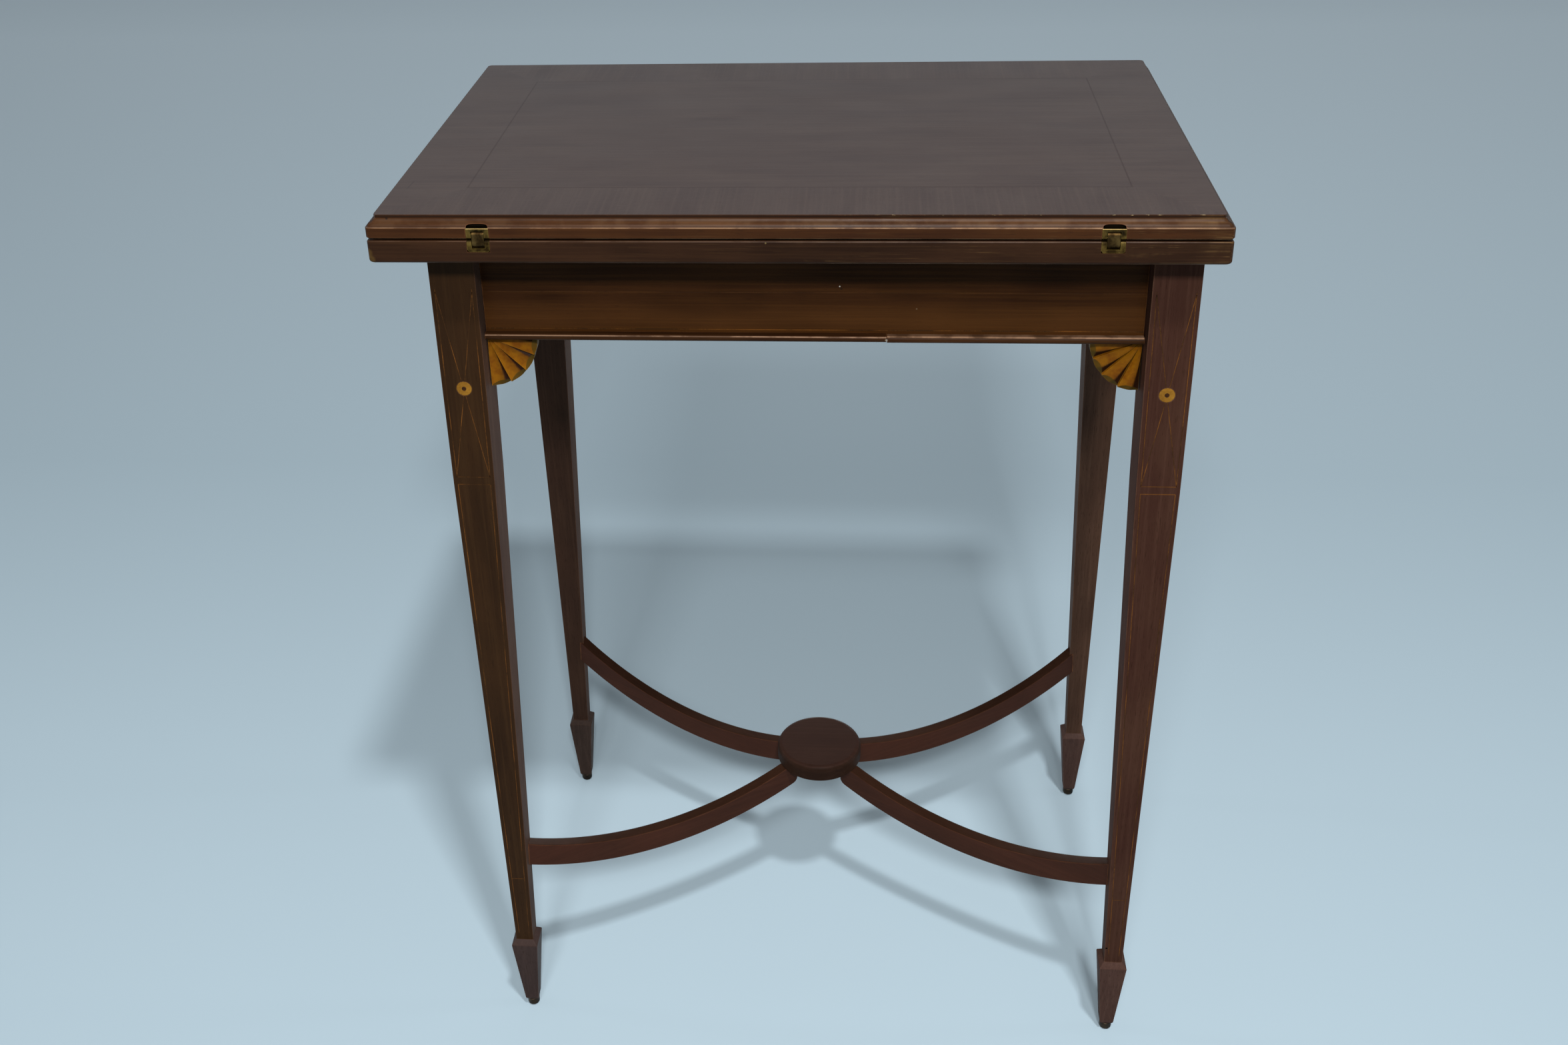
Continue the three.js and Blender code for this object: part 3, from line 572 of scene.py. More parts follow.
@dataclass(frozen=True)
class ScorchedShadedSatinwood(Finish):
    """Carved satinwood under yellow varnish: each petal is honey gold from its ridge, ends in
    a wedge painted nearly black, partly scorching and partly painted shade from the next petal's
    step, and has a small olive facet cut across its tip."""

    ridge: str = "#784a08"
    ruddy: str = "#643706"
    valley: str = "#241208"
    end: str = "#43330b"
    worn_and_lit: str = "#9a6c20"

    def paint(self, tree: Tree, shader: Node, space: Socket) -> None:
        """Drives the shader from the petals' own attributes."""
        shade, facet = (
            add_node(tree, "Attribute", attribute_name=name).outputs["Fac"]
            for name in (PETAL_SHADE, PETAL_END)
        )
        specks = noise(tree, space, 2.2, 2.2, 3)
        clouds = sharpened(tree, noise(tree, space, 7, 7, 3), 0.42, 0.68)
        uneven = reckoned(tree, "MULTIPLY_ADD", specks, 0.3, shade)
        colour = mixed(tree, clouds, self.ridge, self.ruddy)
        # Darker towards the valley: partly scorching, partly painted shade.
        colour = mixed(tree, sharpened(tree, uneven, 0.2, 0.9), colour, self.valley)
        colour = mixed(tree, sharpened(tree, facet, 0.1, 0.7, 0, 0.8), colour, self.end)
        # Paler along the edges: partly wear, partly painted highlight.
        colour = mixed(tree, product(tree, edge_mask(tree, 0.5), 0.5), colour, self.worn_and_lit)
        feed(tree, shader, {
            "Base Color": colour,
            "Roughness": sharpened(tree, specks, 0.3, 0.7, 0.34, 0.5),
            "Specular IOR Level": 0.05,
            "Normal": bumped(tree, specks, 0.4, 0.1),
        })


@dataclass(frozen=True)
class Boxwood(Finish):
    """Boxwood inlay under old polish: close-grained and amber where it is clean, and gone as
    dark as the wood round it in long patches."""

    clean: str
    dirty: str
    roughness: float = 0.38
    fade: float = 0.07

    def paint(self, tree: Tree, shader: Node, space: Socket) -> None:
        """Drives the shader with amber wood, darker where dirt has settled; its fine fibres are
        drawn 1.2 mm wide so as to show."""
        fibres = noise(tree, space, 1.2, 1.2, 2)
        uneven = reckoned(tree, "MULTIPLY_ADD", fibres, 0.3, noise(tree, space, 32, 32, 3))
        dirty = sharpened(tree, uneven, 0.54 - self.fade, 0.8 - self.fade)
        feed(tree, shader, {
            "Base Color": mixed(tree, dirty, self.clean, self.dirty),
            "Roughness": self.roughness,
            "Specular IOR Level": 0.05,
            "Normal": bumped(tree, fibres, 0.3, 0.05),
        })


@dataclass(frozen=True)
class SawnDeal(Finish):
    """Plain pine of the hidden parts, planed and never polished: pale brown with darker
    growth lines, dusty and matt."""

    grain: Grain
    early: str = "#a98257"
    late: str = "#74502f"

    def paint(self, tree: Tree, shader: Node, space: Socket) -> None:
        """Drives the shader with growth lines along the grain."""
        lines = noise(tree, along_grain(tree, space, self.grain), 260, 4.5, 3)
        dust = noise(tree, space, 35, 35, 4)
        uneven = reckoned(tree, "MULTIPLY_ADD", dust, 0.35, lines)
        feed(tree, shader, {
            "Base Color": mixed(tree, sharpened(tree, uneven, 0.5, 0.85), self.early, self.late),
            "Roughness": sharpened(tree, dust, 0.3, 0.7, 0.6, 0.8),
            "Normal": bumped(tree, lines, 0.5, 0.15),
        })


@dataclass(frozen=True)
class OldMetal(Finish):
    """Old cabinet metal: bright only where it is rubbed, the rubbed edges partly painted highlight,
    with brown and green tarnish and dirt in the middle of its faces, and fine pits."""

    bright: str
    tarnish: str
    rubbed_level: float = 0.8
    edge_reach: float = 0.8
    gloss_low: float = 0.3
    gloss_high: float = 0.55

    def paint(self, tree: Tree, shader: Node, space: Socket) -> None:
        """Drives the shader with tarnish that is rubbed away on the edges; its fine pits are
        drawn 0.5 mm wide so as to show."""
        clouds = noise(tree, space, 9, 9, 4)
        edges = sharpened(tree, edge_mask(tree, self.edge_reach), 0.0, 1.0, 0.0, self.rubbed_level)
        # Brighter edges: partly rubbed metal, partly painted highlight.
        rubbed_and_lit = product(tree, edges, sharpened(tree, clouds, 0.34, 0.54, 0.25, 1.0))
        kept = sharpened(tree, clouds, 0.4, 0.66, 0.0, 0.5)
        shine = reckoned(tree, "MAXIMUM", rubbed_and_lit, kept)
        feed(tree, shader, {
            "Base Color": mixed(tree, shine, self.tarnish, self.bright),
            "Metallic": 1.0,
            "Roughness": sharpened(tree, shine, 0.0, 1.0, self.gloss_high, self.gloss_low),
            "Normal": bumped(tree, noise(tree, space, 0.5, 0.5, 2), 0.5, 0.06),
        })


@dataclass(frozen=True)
class Baize(Finish):
    """Green woollen baize, glued down: a felted nap with no visible weave, faded and dusty in
    patches. The nap gives it a soft pale edge of light and no highlight."""

    fresh: str = "#2c5c3b"
    faded: str = "#4c6b4a"

    def paint(self, tree: Tree, shader: Node, space: Socket) -> None:
        """Drives the shader with felted fibres; they are drawn 0.8 mm wide so as to show."""
        fibres = noise(tree, space, 0.8, 0.8, 3)
        uneven = reckoned(tree, "MULTIPLY_ADD", fibres, 0.5, noise(tree, space, 90, 90, 3))
        feed(tree, shader, {
            "Base Color": mixed(tree, sharpened(tree, uneven, 0.55, 1.0), self.fresh, self.faded),
            "Roughness": 0.95,
            "Specular IOR Level": 0.15,
            "Sheen Weight": 0.35,
            "Sheen Roughness": 0.5,
            "Normal": bumped(tree, fibres, 0.8, 0.2),
        })


TOP_WOOD = PolishedTop(
    "polished_mahogany_top", Grain.ALONG_X, dark="#3d302c", mid="#433631", light="#4a3c36",
    worn_and_lit="#5a4134", pore="#322420", gloss_low=0.35, gloss_high=0.38, reflection=0.08, wear_and_highlight=0.2,
)
# Moulding: the faint pale band at 741.5 is painted sheen on the middle of the slope, the pale line
# at 738.7 on the step's arris is partly wear and partly painted highlight, the dark line at 739.4
# is painted shade at the slope's steep foot, and the dark line at 745.1 runs along the quirk.
EDGE_WOOD = WornEdge(
    "polished_mahogany_moulding", Grain.ALONG_X, dark="#2c1608", mid="#3a200c", light="#492a12",
    worn_and_lit="#6d4226", reflection=0.08, scuffs=0.35,
    spots=(Spot((-265.1, -180.2, 743.6), 1.0, "#1c120c", 0.9),),
    worn_and_lit_lines=((741.5, 2.4, 0.09), (738.7, 0.36, 0.85), (731.3, 0.4, 0.3)),
    dark_lines=((745.1, 1.3, 0.7), (739.4, 0.5, 0.25)),
)
# The leaf's ends are painted darker than its long edges: painted shade.
SHADED_END_WOOD = WornEdge(
    "shaded_mahogany_end", Grain.ALONG_Y, dark="#20120b", mid="#2b1a11", light="#352117",
    worn_and_lit="#3a261b", rubbed_and_lit="#6e5038", reflection=0.04,
    worn_and_lit_lines=((738.7, 0.36, 0.6),), dark_lines=((745.1, 1.3, 0.7),),
)
# The pale lines at the leaf's arrises are partly wear and partly painted highlight.
LEAF_WOOD = WornEdge(
    "polished_mahogany_leaf", Grain.ALONG_X, dark="#211209", mid="#2f1c10", light="#3a2515",
    worn_and_lit="#51331f", rubbed_and_lit="#6d5442", reflection=0.06, scuffs=0.5,
    spots=(
        Spot((-279.5, -184.0, 721.0), 4.2, "#5a4420", 0.4),
        Spot((-277.5, -185.0, 716.4), 3.4, "#5a4420", 0.4),
        Spot((-16.0, -185.0, 728.4), 0.7, "#6a5a38", 0.7),
    ),
    worn_and_lit_lines=((729.2, 0.3, 0.45), (714.0, 0.5, 0.6)),
)
# Near black: painted shade inside the hinge pockets and the nail hole.
SHADED_HOLLOW_WOOD = PolishedWood(
    "shaded_mahogany_hollow", Grain.ALONG_X, dark="#0e0b07", mid="#15110b", light="#1c160f",
    worn_and_lit="#261c12", gloss_low=0.6, gloss_high=0.75, reflection=0.02,
)
# The even band at the aprons' foot is painted light: the aprons turn paler towards their lower
# edge.
SHORT_WOOD = WornEdge(
    "polished_mahogany_short", Grain.ALONG_Y, dark="#241206", mid="#331c0b", light="#42270f",
    rubbed_and_lit="#6e441d", reflection=0.03, worn_and_lit_lines=((641.0, 30.0, 0.2),),
)
LONG_WOOD = replace(
    SHORT_WOOD, name="polished_mahogany_long", grain=Grain.ALONG_X,
    spots=(
        Spot((30.9, -144.0, 680.8), 0.6, "#b9b2a4"),
        Spot((32.0, -144.0, 679.0), 0.9, "#1a120c", 0.7),
        Spot((83.0, -144.0, 664.4), 0.7, "#5c4834", 0.8),
    ),
)
NAIL_HOLE: Point = (249.5, -154.4, 96.0)


def leg_woods(
    word: str, plain: dict[str, Any], looks: dict[Corner, dict[str, Any]]
) -> dict[Corner, PolishedWood]:
    """Makes the woods of the four legs, or of their feet, each with its own tone of painted light
    and shade.

    Args:
        word: what the finishes' names start with.
        plain: what the four have in common.
        looks: what each one has of its own.

    Returns:
        The wood of each corner.
    """
    return {
        corner: PolishedWood(f"{word}_{corner.label}", Grain.ALONG_Z, **{**plain, **own})
        for corner, own in looks.items()
    }


# Each leg and foot is painted its own tone of light and shade: the right-hand ones paler, as lit,
# and the front left darkest, as shaded.
LEG_WOODS = leg_woods(
    "polished_mahogany_leg",
    {"worn_and_lit": "#6d4a34", "gloss_low": 0.42, "gloss_high": 0.55, "reflection": 0.04},
    {
        Corner.FRONT_LEFT: {"dark": "#27180c", "mid": "#301e0f", "light": "#392614"},
        Corner.FRONT_RIGHT: {
            "dark": "#351f18", "mid": "#3e281e", "light": "#472f25", "worn_and_lit": "#84604a",
            "gloss_low": 0.5, "gloss_high": 0.6, "reflection": 0.02,
            # A dark spot round the nail hole: painted shade of the hole.
            "spots": (Spot(NAIL_HOLE, 1.35, "#0c0906"),),
        },
        Corner.BACK_LEFT: {"dark": "#302018", "mid": "#3a271d", "light": "#432f23"},
        Corner.BACK_RIGHT: {
            "dark": "#3d2a20", "mid": "#493327", "light": "#543d30", "worn_and_lit": "#84604a",
        },
    },
)
# The left legs' inner sides are painted paler than their fronts: painted light.
LIT_INNER_WOOD = PolishedWood(
    "lit_mahogany_leg_side", Grain.ALONG_Z, dark="#3e2c24", mid="#47342a", light="#513d32",
    worn_and_lit="#6d4a34", gloss_low=0.5, gloss_high=0.6, reflection=0.04,
)
LIT_RIGHT_FOOT = {"dark": "#3f2c26", "mid": "#48332c", "light": "#513c34", "worn_and_lit": "#7c5c4e"}
FOOT_WOODS = leg_woods(
    "worn_mahogany_foot",
    {"worn_and_lit": "#6b4c3e", "gloss_low": 0.45, "gloss_high": 0.6, "reflection": 0.06},
    {
        Corner.FRONT_LEFT: {"dark": "#2f2320", "mid": "#382a26", "light": "#41322d"},
        Corner.FRONT_RIGHT: {
            **LIT_RIGHT_FOOT, "gloss_low": 0.55, "gloss_high": 0.65, "reflection": 0.02,
        },
        Corner.BACK_LEFT: {"dark": "#332620", "mid": "#3c2d26", "light": "#45352d"},
        Corner.BACK_RIGHT: LIT_RIGHT_FOOT,
    },
)
# The pale line along the beads' nose is a painted highlight.
SIDE_BEAD_WOOD = WornEdge(
    "polished_mahogany_side_bead", Grain.ALONG_Y, dark="#271408", mid="#36200f",
    light="#452a16", rubbed_and_lit="#a98468", reflection=0.04, worn_and_lit_lines=((645.35, 0.42, 0.85),),
)
BEAD_WOOD = replace(
    SIDE_BEAD_WOOD, name="polished_mahogany_bead", grain=Grain.ALONG_X,
    spots=(Spot((63.0, -151.0, 643.5), 1.6, "#9b8a72", 0.8),),
)
RISING_WOOD = PolishedWood(
    "polished_mahogany_rising_arm", Grain.RISING, dark="#321c13", mid="#391f15", light="#40251a",
    reflection=0.05,
)
FALLING_WOOD = replace(
    RISING_WOOD, name="polished_mahogany_falling_arm", grain=Grain.FALLING
)
# The arms' upper faces are painted darker than their sides: painted shade under the top.
SHADED_RISING_TOP_WOOD = PolishedWood(
    "shaded_mahogany_rising_arm", Grain.RISING, dark="#281810", mid="#2e1c13", light="#342118",
    worn_and_lit="#5f3f30", reflection=0.01,
)
SHADED_FALLING_TOP_WOOD = replace(
    SHADED_RISING_TOP_WOOD, name="shaded_mahogany_falling_arm", grain=Grain.FALLING
)
DISC_WOOD = PolishedWood(
    "polished_mahogany_disc", Grain.ALONG_X, dark="#291a15", mid="#2f1f19", light="#37251e",
    gloss_low=0.4, gloss_high=0.5, reflection=0.02,
)
# The disc's side and underside are painted darker than its top: painted shade.
SHADED_RIM_WOOD = PolishedWood(
    "shaded_mahogany_rim", Grain.ALONG_X, dark="#20140e", mid="#271912", light="#2e1e16",
    worn_and_lit="#5a3c2e", gloss_low=0.45, gloss_high=0.55, reflection=0.02,
)
FAN_WOOD = ScorchedShadedSatinwood("scorched_and_shaded_satinwood")
STRING_WOOD = Boxwood("boxwood_string", clean="#6b4119", dirty="#33200f")
FAINT_STRING_WOOD = Boxwood("darkened_boxwood_string", clean="#432811", dirty="#2e1a0a")
ROUNDEL_WOOD = Boxwood("boxwood_roundel", clean="#8f6420", dirty="#6e4a16", fade=0.0)
DOT_WOOD = Boxwood("ebonised_dot", clean="#4a2c14", dirty="#2c190c", roughness=0.5)
DEAL_LONG = SawnDeal("planed_deal_long", Grain.ALONG_X)
DEAL_SHORT = SawnDeal("planed_deal_short", Grain.ALONG_Y)
BRASS = OldMetal("tarnished_brass", bright="#aa8643", tarnish="#332410")
LINK_BRASS = OldMetal("browned_brass", bright="#8f7040", tarnish="#302211")
# Pale brass for the upper plates' crest: partly rubbed, partly painted highlight.
LIT_LIP_BRASS = OldMetal(
    "chafed_and_highlit_brass", bright="#e6cc90", tarnish="#a08450", gloss_low=0.6, gloss_high=0.7
)
# Dark brass: painted shade on the plates' faces under the pocket and against the other leaf.
SHADED_BRASS = OldMetal("shaded_brass", bright="#4a3d20", tarnish="#1c150b", rubbed_level=0.5)
STEEL = OldMetal("darkened_steel", bright="#8a8784", tarnish="#3a3633", rubbed_level=0.6)
GLIDE_METAL = OldMetal("blackened_glide", bright="#5e4a38", tarnish="#28221d", rubbed_level=0.5)
BAIZE = Baize("green_baize")


# In mm: how close two points are to be made one, and how far a cutter stands out of a face.
WELD = 1e-4
BEYOND = 2.0
UP = Vector((0, 0, 1))
SQUARE = ((-1, -1), (1, -1), (1, 1), (-1, 1))


def shares(steps: int, first: int = 0) -> list[float]:
    """Lists even shares of a whole, the last of which is 1."""
    return [step / steps for step in range(first, steps + 1)]


def loft(rings: Sequence[Sequence[Point]]) -> Solid:
    """Extrudes a face through rings of points into a closed solid.

    Args:
        rings: rings with the same number of points, in the order in which they are reached.

    Returns:
        The solid.
    """
    bm = bmesh.new()
    cap = bm.faces.new([bm.verts.new(point) for point in rings[0]])
    for number, (before, after) in enumerate(zip(rings, rings[1:])):
        made = bmesh.ops.extrude_face_region(bm, geom=[cap])["geom"]
        if number > 0:
            bmesh.ops.delete(bm, geom=[cap], context="FACES_ONLY")
        cap = next(item for item in made if isinstance(item, bmesh.types.BMFace))
        places = [Vector(point) for point in before]
        for vert in cap.verts:
            gaps = [(vert.co - place).length_squared for place in places]
            vert.co = after[gaps.index(min(gaps))]
    bmesh.ops.recalc_face_normals(bm, faces=bm.faces)
    return bm


def turned(profile: Sequence[Pair], steps: int) -> Solid:
    """Spins a profile round the Z axis into a closed solid.

    Args:
        profile: (radius, height) points, starting and ending on the axis.
        steps: how many steps the spin has.

    Returns:
        The solid.
    """
    bm = bmesh.new()
    verts = [bm.verts.new((radius, 0.0, height)) for radius, height in profile]
    edges = [bm.edges.new(pair) for pair in zip(verts, verts[1:])]
    bmesh.ops.spin(
        bm, geom=[*verts, *edges], cent=(0, 0, 0), axis=(0, 0, 1), angle=2 * math.pi,
        steps=steps, use_merge=True,
    )
    bmesh.ops.remove_doubles(bm, verts=bm.verts, dist=WELD)
    bmesh.ops.recalc_face_normals(bm, faces=bm.faces)
    return bm


def block(low: Point, high: Point) -> Solid:
    """Makes a square-edged block between two corners, for cutting."""
    bm = bmesh.new()
    size = Vector(high) - Vector(low)
    middle = (Vector(high) + Vector(low)) / 2
    matrix = Matrix.Translation(middle) @ Matrix.Diagonal((*size, 1.0))
    bmesh.ops.create_cube(bm, size=1.0, matrix=matrix)
    return bm


def bar(start: Point, end: Point, radius: float, steps: int = 32) -> Solid:
    """Makes a round bar between two points, for cutting.

    Args:
        start: one end of its axis.
        end: the other end.
        radius: its radius.
        steps: how many sides it has.

    Returns:
        The bar.
    """
    run = Vector(end) - Vector(start)
    middle = (Vector(end) + Vector(start)) / 2
    matrix = Matrix.Translation(middle) @ run.to_track_quat("Z", "Y").to_matrix().to_4x4()
    bm = bmesh.new()
    bmesh.ops.create_cone(
        bm, cap_ends=True, segments=steps, radius1=radius, radius2=radius, depth=run.length,
        matrix=matrix,
    )
    return bm


def backed(bm: Solid, back: float) -> Solid:
    """Gives an open sheet a flat back at a height, which closes it."""
    for item in bmesh.ops.extrude_face_region(bm, geom=bm.faces[:])["geom"]:
        if isinstance(item, bmesh.types.BMVert):
            item.co.z = back
    return bm


def sorted_faces(bm: Solid, pick: Callable[[bmesh.types.BMFace], int]) -> Solid:
    """Gives each face of a solid the number of its finish."""
    bm.normal_update()
    for face in bm.faces:
        face.material_index = pick(face)
    return bm


def placed(name: str, data: bpy.types.ID) -> bpy.types.Object:
    """Puts a new object that shows some data into the scene."""
    thing = bpy.data.objects.new(name, data)
    bpy.context.scene.collection.objects.link(thing)
    return thing


def add_shape(bm: Solid, other: Solid) -> None:
    """Adds another mesh's shape, with its attributes, to a mesh, and frees the other."""
    carrier = bpy.data.meshes.new("carrier")
    other.to_mesh(carrier)
    other.free()
    bm.from_mesh(carrier)
    bpy.data.meshes.remove(carrier)


def carve(bm: Solid, cutters: Iterable[Solid]) -> Solid:
    """Cuts solids out of a solid.

    Args:
        bm: the solid; it is used up.
        cutters: the solids to cut away; they are used up too.

    Returns:
        What is left.
    """
    objects = []
    for part in (bm, *cutters):
        bmesh.ops.recalc_face_normals(part, faces=part.faces)
        mesh = bpy.data.meshes.new("cutting")
        part.to_mesh(mesh)
        part.free()
        objects.append(placed("cutting", mesh))
    for cutter in objects[1:]:
        cut = objects[0].modifiers.new("cut", "BOOLEAN")
        cut.operation = "DIFFERENCE"
        cut.solver = "EXACT"
        cut.object = cutter
    bpy.context.view_layer.update()
    evaluated = objects[0].evaluated_get(bpy.context.evaluated_depsgraph_get())
    result = bmesh.new()
    result.from_mesh(evaluated.to_mesh())
    evaluated.to_mesh_clear()
    meshes = [thing.data for thing in objects]
    for thing in objects:
        bpy.data.objects.remove(thing)
    for mesh in meshes:
        bpy.data.meshes.remove(mesh)
    bmesh.ops.remove_doubles(result, verts=result.verts, dist=WELD)
    return result


def ease(
    bm: Solid,
    width: float,
    segments: int = 2,
    angle: float = math.radians(40),
    wanted: Callable[[bmesh.types.BMEdge], bool] = lambda edge: True,
) -> Solid:
    """Rounds the edges of a solid that are sharper than an angle.

    Args:
        bm: the solid.
        width: how wide the rounding is, in mm.
        segments: how many facets it has.
        angle: the angle between two faces from which their edge counts as sharp.
        wanted: says whether a sharp edge is to be rounded.

    Returns:
        The same solid.
    """
    bm.normal_update()
    sharp = [
        edge for edge in bm.edges
        if edge.is_manifold and abs(edge.calc_face_angle_signed()) > angle and wanted(edge)
    ]
    bmesh.ops.bevel(
        bm, geom=sharp, offset=width, offset_type="OFFSET", affect="EDGES", segments=segments,
        profile=0.5, material=-1, clamp_overlap=True,
    )
    return bm


def publish(
    name: str,
    bm: Solid,
    finishes: Sequence[Finish],
    body: Body,
    slot: Slot,
    nodes: Sequence[str] = (),
    sharp: float = 38.0,
) -> bpy.types.Object:
    """Turns a shape in millimetres into a finished piece of the model.

    Args:
        name: the piece's name.
        bm: its shape; it is used up.
        finishes: its finishes, in the order of the faces' material numbers.
        body: the body it rides on.
        slot: the record's material slot it belongs to; it is not used.
        nodes: the CAD nodes it stands for.
        sharp: the angle in degrees from which an edge is shaded as sharp.

    Returns:
        The piece.
    """
    bmesh.ops.scale(bm, vec=(MM, MM, MM), verts=bm.verts)
    bmesh.ops.recalc_face_normals(bm, faces=bm.faces)
    for face in bm.faces:
        face.smooth = True
    mesh = bpy.data.meshes.new(name)
    bm.to_mesh(mesh)
    bm.free()
    mesh.set_sharp_from_angle(angle=math.radians(sharp))
    for finish in finishes:
        mesh.materials.append(material_of(finish))
    piece = placed(name, mesh)
    evened = piece.modifiers.new("even_shading", "WEIGHTED_NORMAL")
    evened.keep_sharp = True
    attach(piece, body.value)
    if nodes:
        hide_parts(*nodes)
    LOG.info("piece %s: %d faces on %s", name, len(mesh.polygons), body.value)
    return piece


def dress(node: str, finish: Finish) -> None:
    """Gives a CAD node that stays in view its finish."""
    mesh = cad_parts[node].data
    mesh.materials.clear()
    mesh.materials.append(material_of(finish))
    LOG.info("node %s: %s", node, finish.name)


def copy_of(node: str) -> Solid:
    """Copies a CAD node's shape, in millimetres, with its flat faces in one piece each."""
    bm = bmesh.new()
    bm.from_mesh(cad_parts[node].data)
    bmesh.ops.scale(bm, vec=(1 / MM, 1 / MM, 1 / MM), verts=bm.verts)
    bmesh.ops.remove_doubles(bm, verts=bm.verts, dist=10 * WELD)
    bmesh.ops.dissolve_limit(
        bm, angle_limit=math.radians(1), verts=bm.verts, edges=bm.edges,
        use_dissolve_boundaries=False,
    )
    return bm


def strip(bm: Solid, start: Vector, end: Vector, width: float, normal: Vector) -> None:
    """Adds an inlaid string between two points of a face: a thin bar, a hair proud of it.

    Args:
        bm: the mesh it goes into.
        start: one end, on the face.
        end: the other end.
        width: the string's width in mm.
        normal: the way the face looks.
    """
    proud, sunk = 0.05, 0.25
    run = end - start
    along = run.normalized()
    out = (normal - along * normal.dot(along)).normalized()
    side = out.cross(along)
    turn = Matrix((along, side, out)).transposed().to_4x4()
    middle = (start + end) / 2 + out * (proud - sunk) / 2
    size = Matrix.Diagonal((run.length, width, proud + sunk, 1.0))
    bmesh.ops.create_cube(bm, size=1.0, matrix=Matrix.Translation(middle) @ turn @ size)


def rounded_ring(half_x: float, half_y: float, radius: float, z: float) -> list[Point]:
    """Draws a rectangle with round corners, anticlockwise.

    Args:
        half_x: half its size along X.
        half_y: half its size along Y.
        radius: the radius of its corners.
        z: its height.

    Returns:
        Its points.
    """
    ring = []
    for quarter, (sx, sy) in enumerate(((1, 1), (-1, 1), (-1, -1), (1, -1))):
        for share in shares(6):
            angle = (quarter + share) * QUARTER
            x = sx * (half_x - radius) + radius * math.cos(angle)
            y = sy * (half_y - radius) + radius * math.sin(angle)
            ring.append((x, y, z))
    return ring


@dataclass
class Leaves:
    """The two leaves of the top with their cloths."""

    corner_radius: float = 3.0
    moulding_drop: float = 7.2
    moulding_reach: float = 5.0
    moulding_fillet: float = 2.3
    step_width: float = 0.8
    step_rise: float = 0.06
    plain_share: float = 0.62
    lower_arris: float = 2.4
    band_width: float = 38.0
    cloth_recess: float = 1.5
    cloth_thickness: float = 1.2
    cloth_margin: float = 0.06
    pin_inset: float = 2.6
    roll_radius: float = 3.0
    plate_width: float = 15.0
    cheek_depth: float = 8.6
    flange_length: float = 28.0
    flange_thickness: float = 1.6
    upper_cheek: float = 7.4
    lower_cheek: float = 7.7
    pocket_width: float = 14.4
    pocket_height: float = 2.4
    pocket_depth: float = 4.0
    bolt_flange_radius: float = 16.4
    bolt_flange_depth: float = 3.3
    string_width: float = 0.9
    string_offset: float = 3.0
    cloth_unevenness: float = 0.05
    soft_edge: float = 0.35

    def rolled_inset(self, depth: float) -> float:
        """How far the playing side's arris is rounded back at a depth into the leaf."""
        reach = math.sqrt(self.roll_radius**2 - (PLAN.pin_depth - depth) ** 2)
        return max(0.0, self.pin_inset - reach)

    def playing_arris(self, surface: float, side: int) -> list[Pair]:
        """Lists (inset, height) from the playing surface into the leaf."""
        return [(self.rolled_inset(d), surface + side * d) for d in (0.0, 0.25, 0.5, 0.95)]

    def upper_profile(self) -> list[Pair]:
        """Draws the upper leaf's edge from its playing side up.

        Returns:
            (inset, height) points: a rounded arris, a straight band with a narrow flat step
            on it, an S-shaped slope that is steep at both ends, and an upright fillet.
        """
        step_top = PLAN.top - self.moulding_drop
        profile = self.playing_arris(PLAN.upper_leaf_bottom, 1)
        profile += [(0.0, step_top - 0.5), (0.08, step_top - 0.2), (0.25, step_top - 0.04),
                    (0.5, step_top), (self.step_width, step_top + self.step_rise)]
        width = self.moulding_reach - self.step_width
        height = self.moulding_drop - self.moulding_fillet - self.step_rise
        for share in shares(18, 1):
            swing = share - math.sin(2 * math.pi * share) / (2 * math.pi)
            across = swing + (share - swing) * self.plain_share
            up = share + (share - swing) * (1 - self.plain_share)
            profile.append((self.step_width + width * across,
                            step_top + self.step_rise + height * up))
        reach = self.moulding_reach
        return [*profile, (reach + 0.1, PLAN.top - 0.4), (reach + 0.22, PLAN.top - 0.12),
                (reach + 0.5, PLAN.top)]

    def lower_profile(self) -> list[Pair]:
        """Draws the lower leaf's edge from its round lower arris up."""
        arris, low = self.lower_arris, PLAN.lower_leaf_bottom
        turns = [share * QUARTER for share in shares(7)]
        profile = [
            (arris * (1 - math.sin(turn)), low + arris * (1 - math.cos(turn))) for turn in turns
        ]
        return profile + self.playing_arris(PLAN.playing_height, -1)[::-1]

    def blank(self, profile: Sequence[Pair]) -> Solid:
        """Makes a leaf's board with that edge all round."""
        half_x, half_y = PLAN.top_half_x, PLAN.top_half_y
        return loft([rounded_ring(half_x - inset, half_y - inset, self.corner_radius, z)
                     for inset, z in profile])

    def cuts(self, leaf: Leaf, cheek: float) -> list[Solid]:
        """Makes what is cut out of a leaf for its cloth and its hinges.

        Args:
            leaf: the leaf.
            cheek: how deep the hinge plates go in.

        Returns:
            The solids to cut away.
        """
        gap = PLAN.glue_gap
        half_x = PLAN.top_half_x - self.band_width + gap
        half_y = PLAN.top_half_y - self.band_width + gap

        def recess(deep: float, low: float, high: float, half: float, x: float) -> Solid:
            """Makes a cutter that goes into the leaf from its playing surface."""
            outside, inside = leaf.surface - leaf.side * BEYOND, leaf.surface + leaf.side * deep
            return block(
                (x - half, low, min(outside, inside)), (x + half, high, max(outside, inside))
            )

        made = [recess(self.cloth_recess, -half_y, half_y, half_x, 0.0)]
        front, half = -PLAN.top_half_y, self.plate_width / 2 + gap
        for x in (-PLAN.hinge_x, PLAN.hinge_x):
            for deep, length in ((cheek, self.cheek_depth),
                                 (self.flange_thickness, self.flange_length)):
                made.append(recess(deep + gap, front - BEYOND, front + length + gap, half, x))
        return made

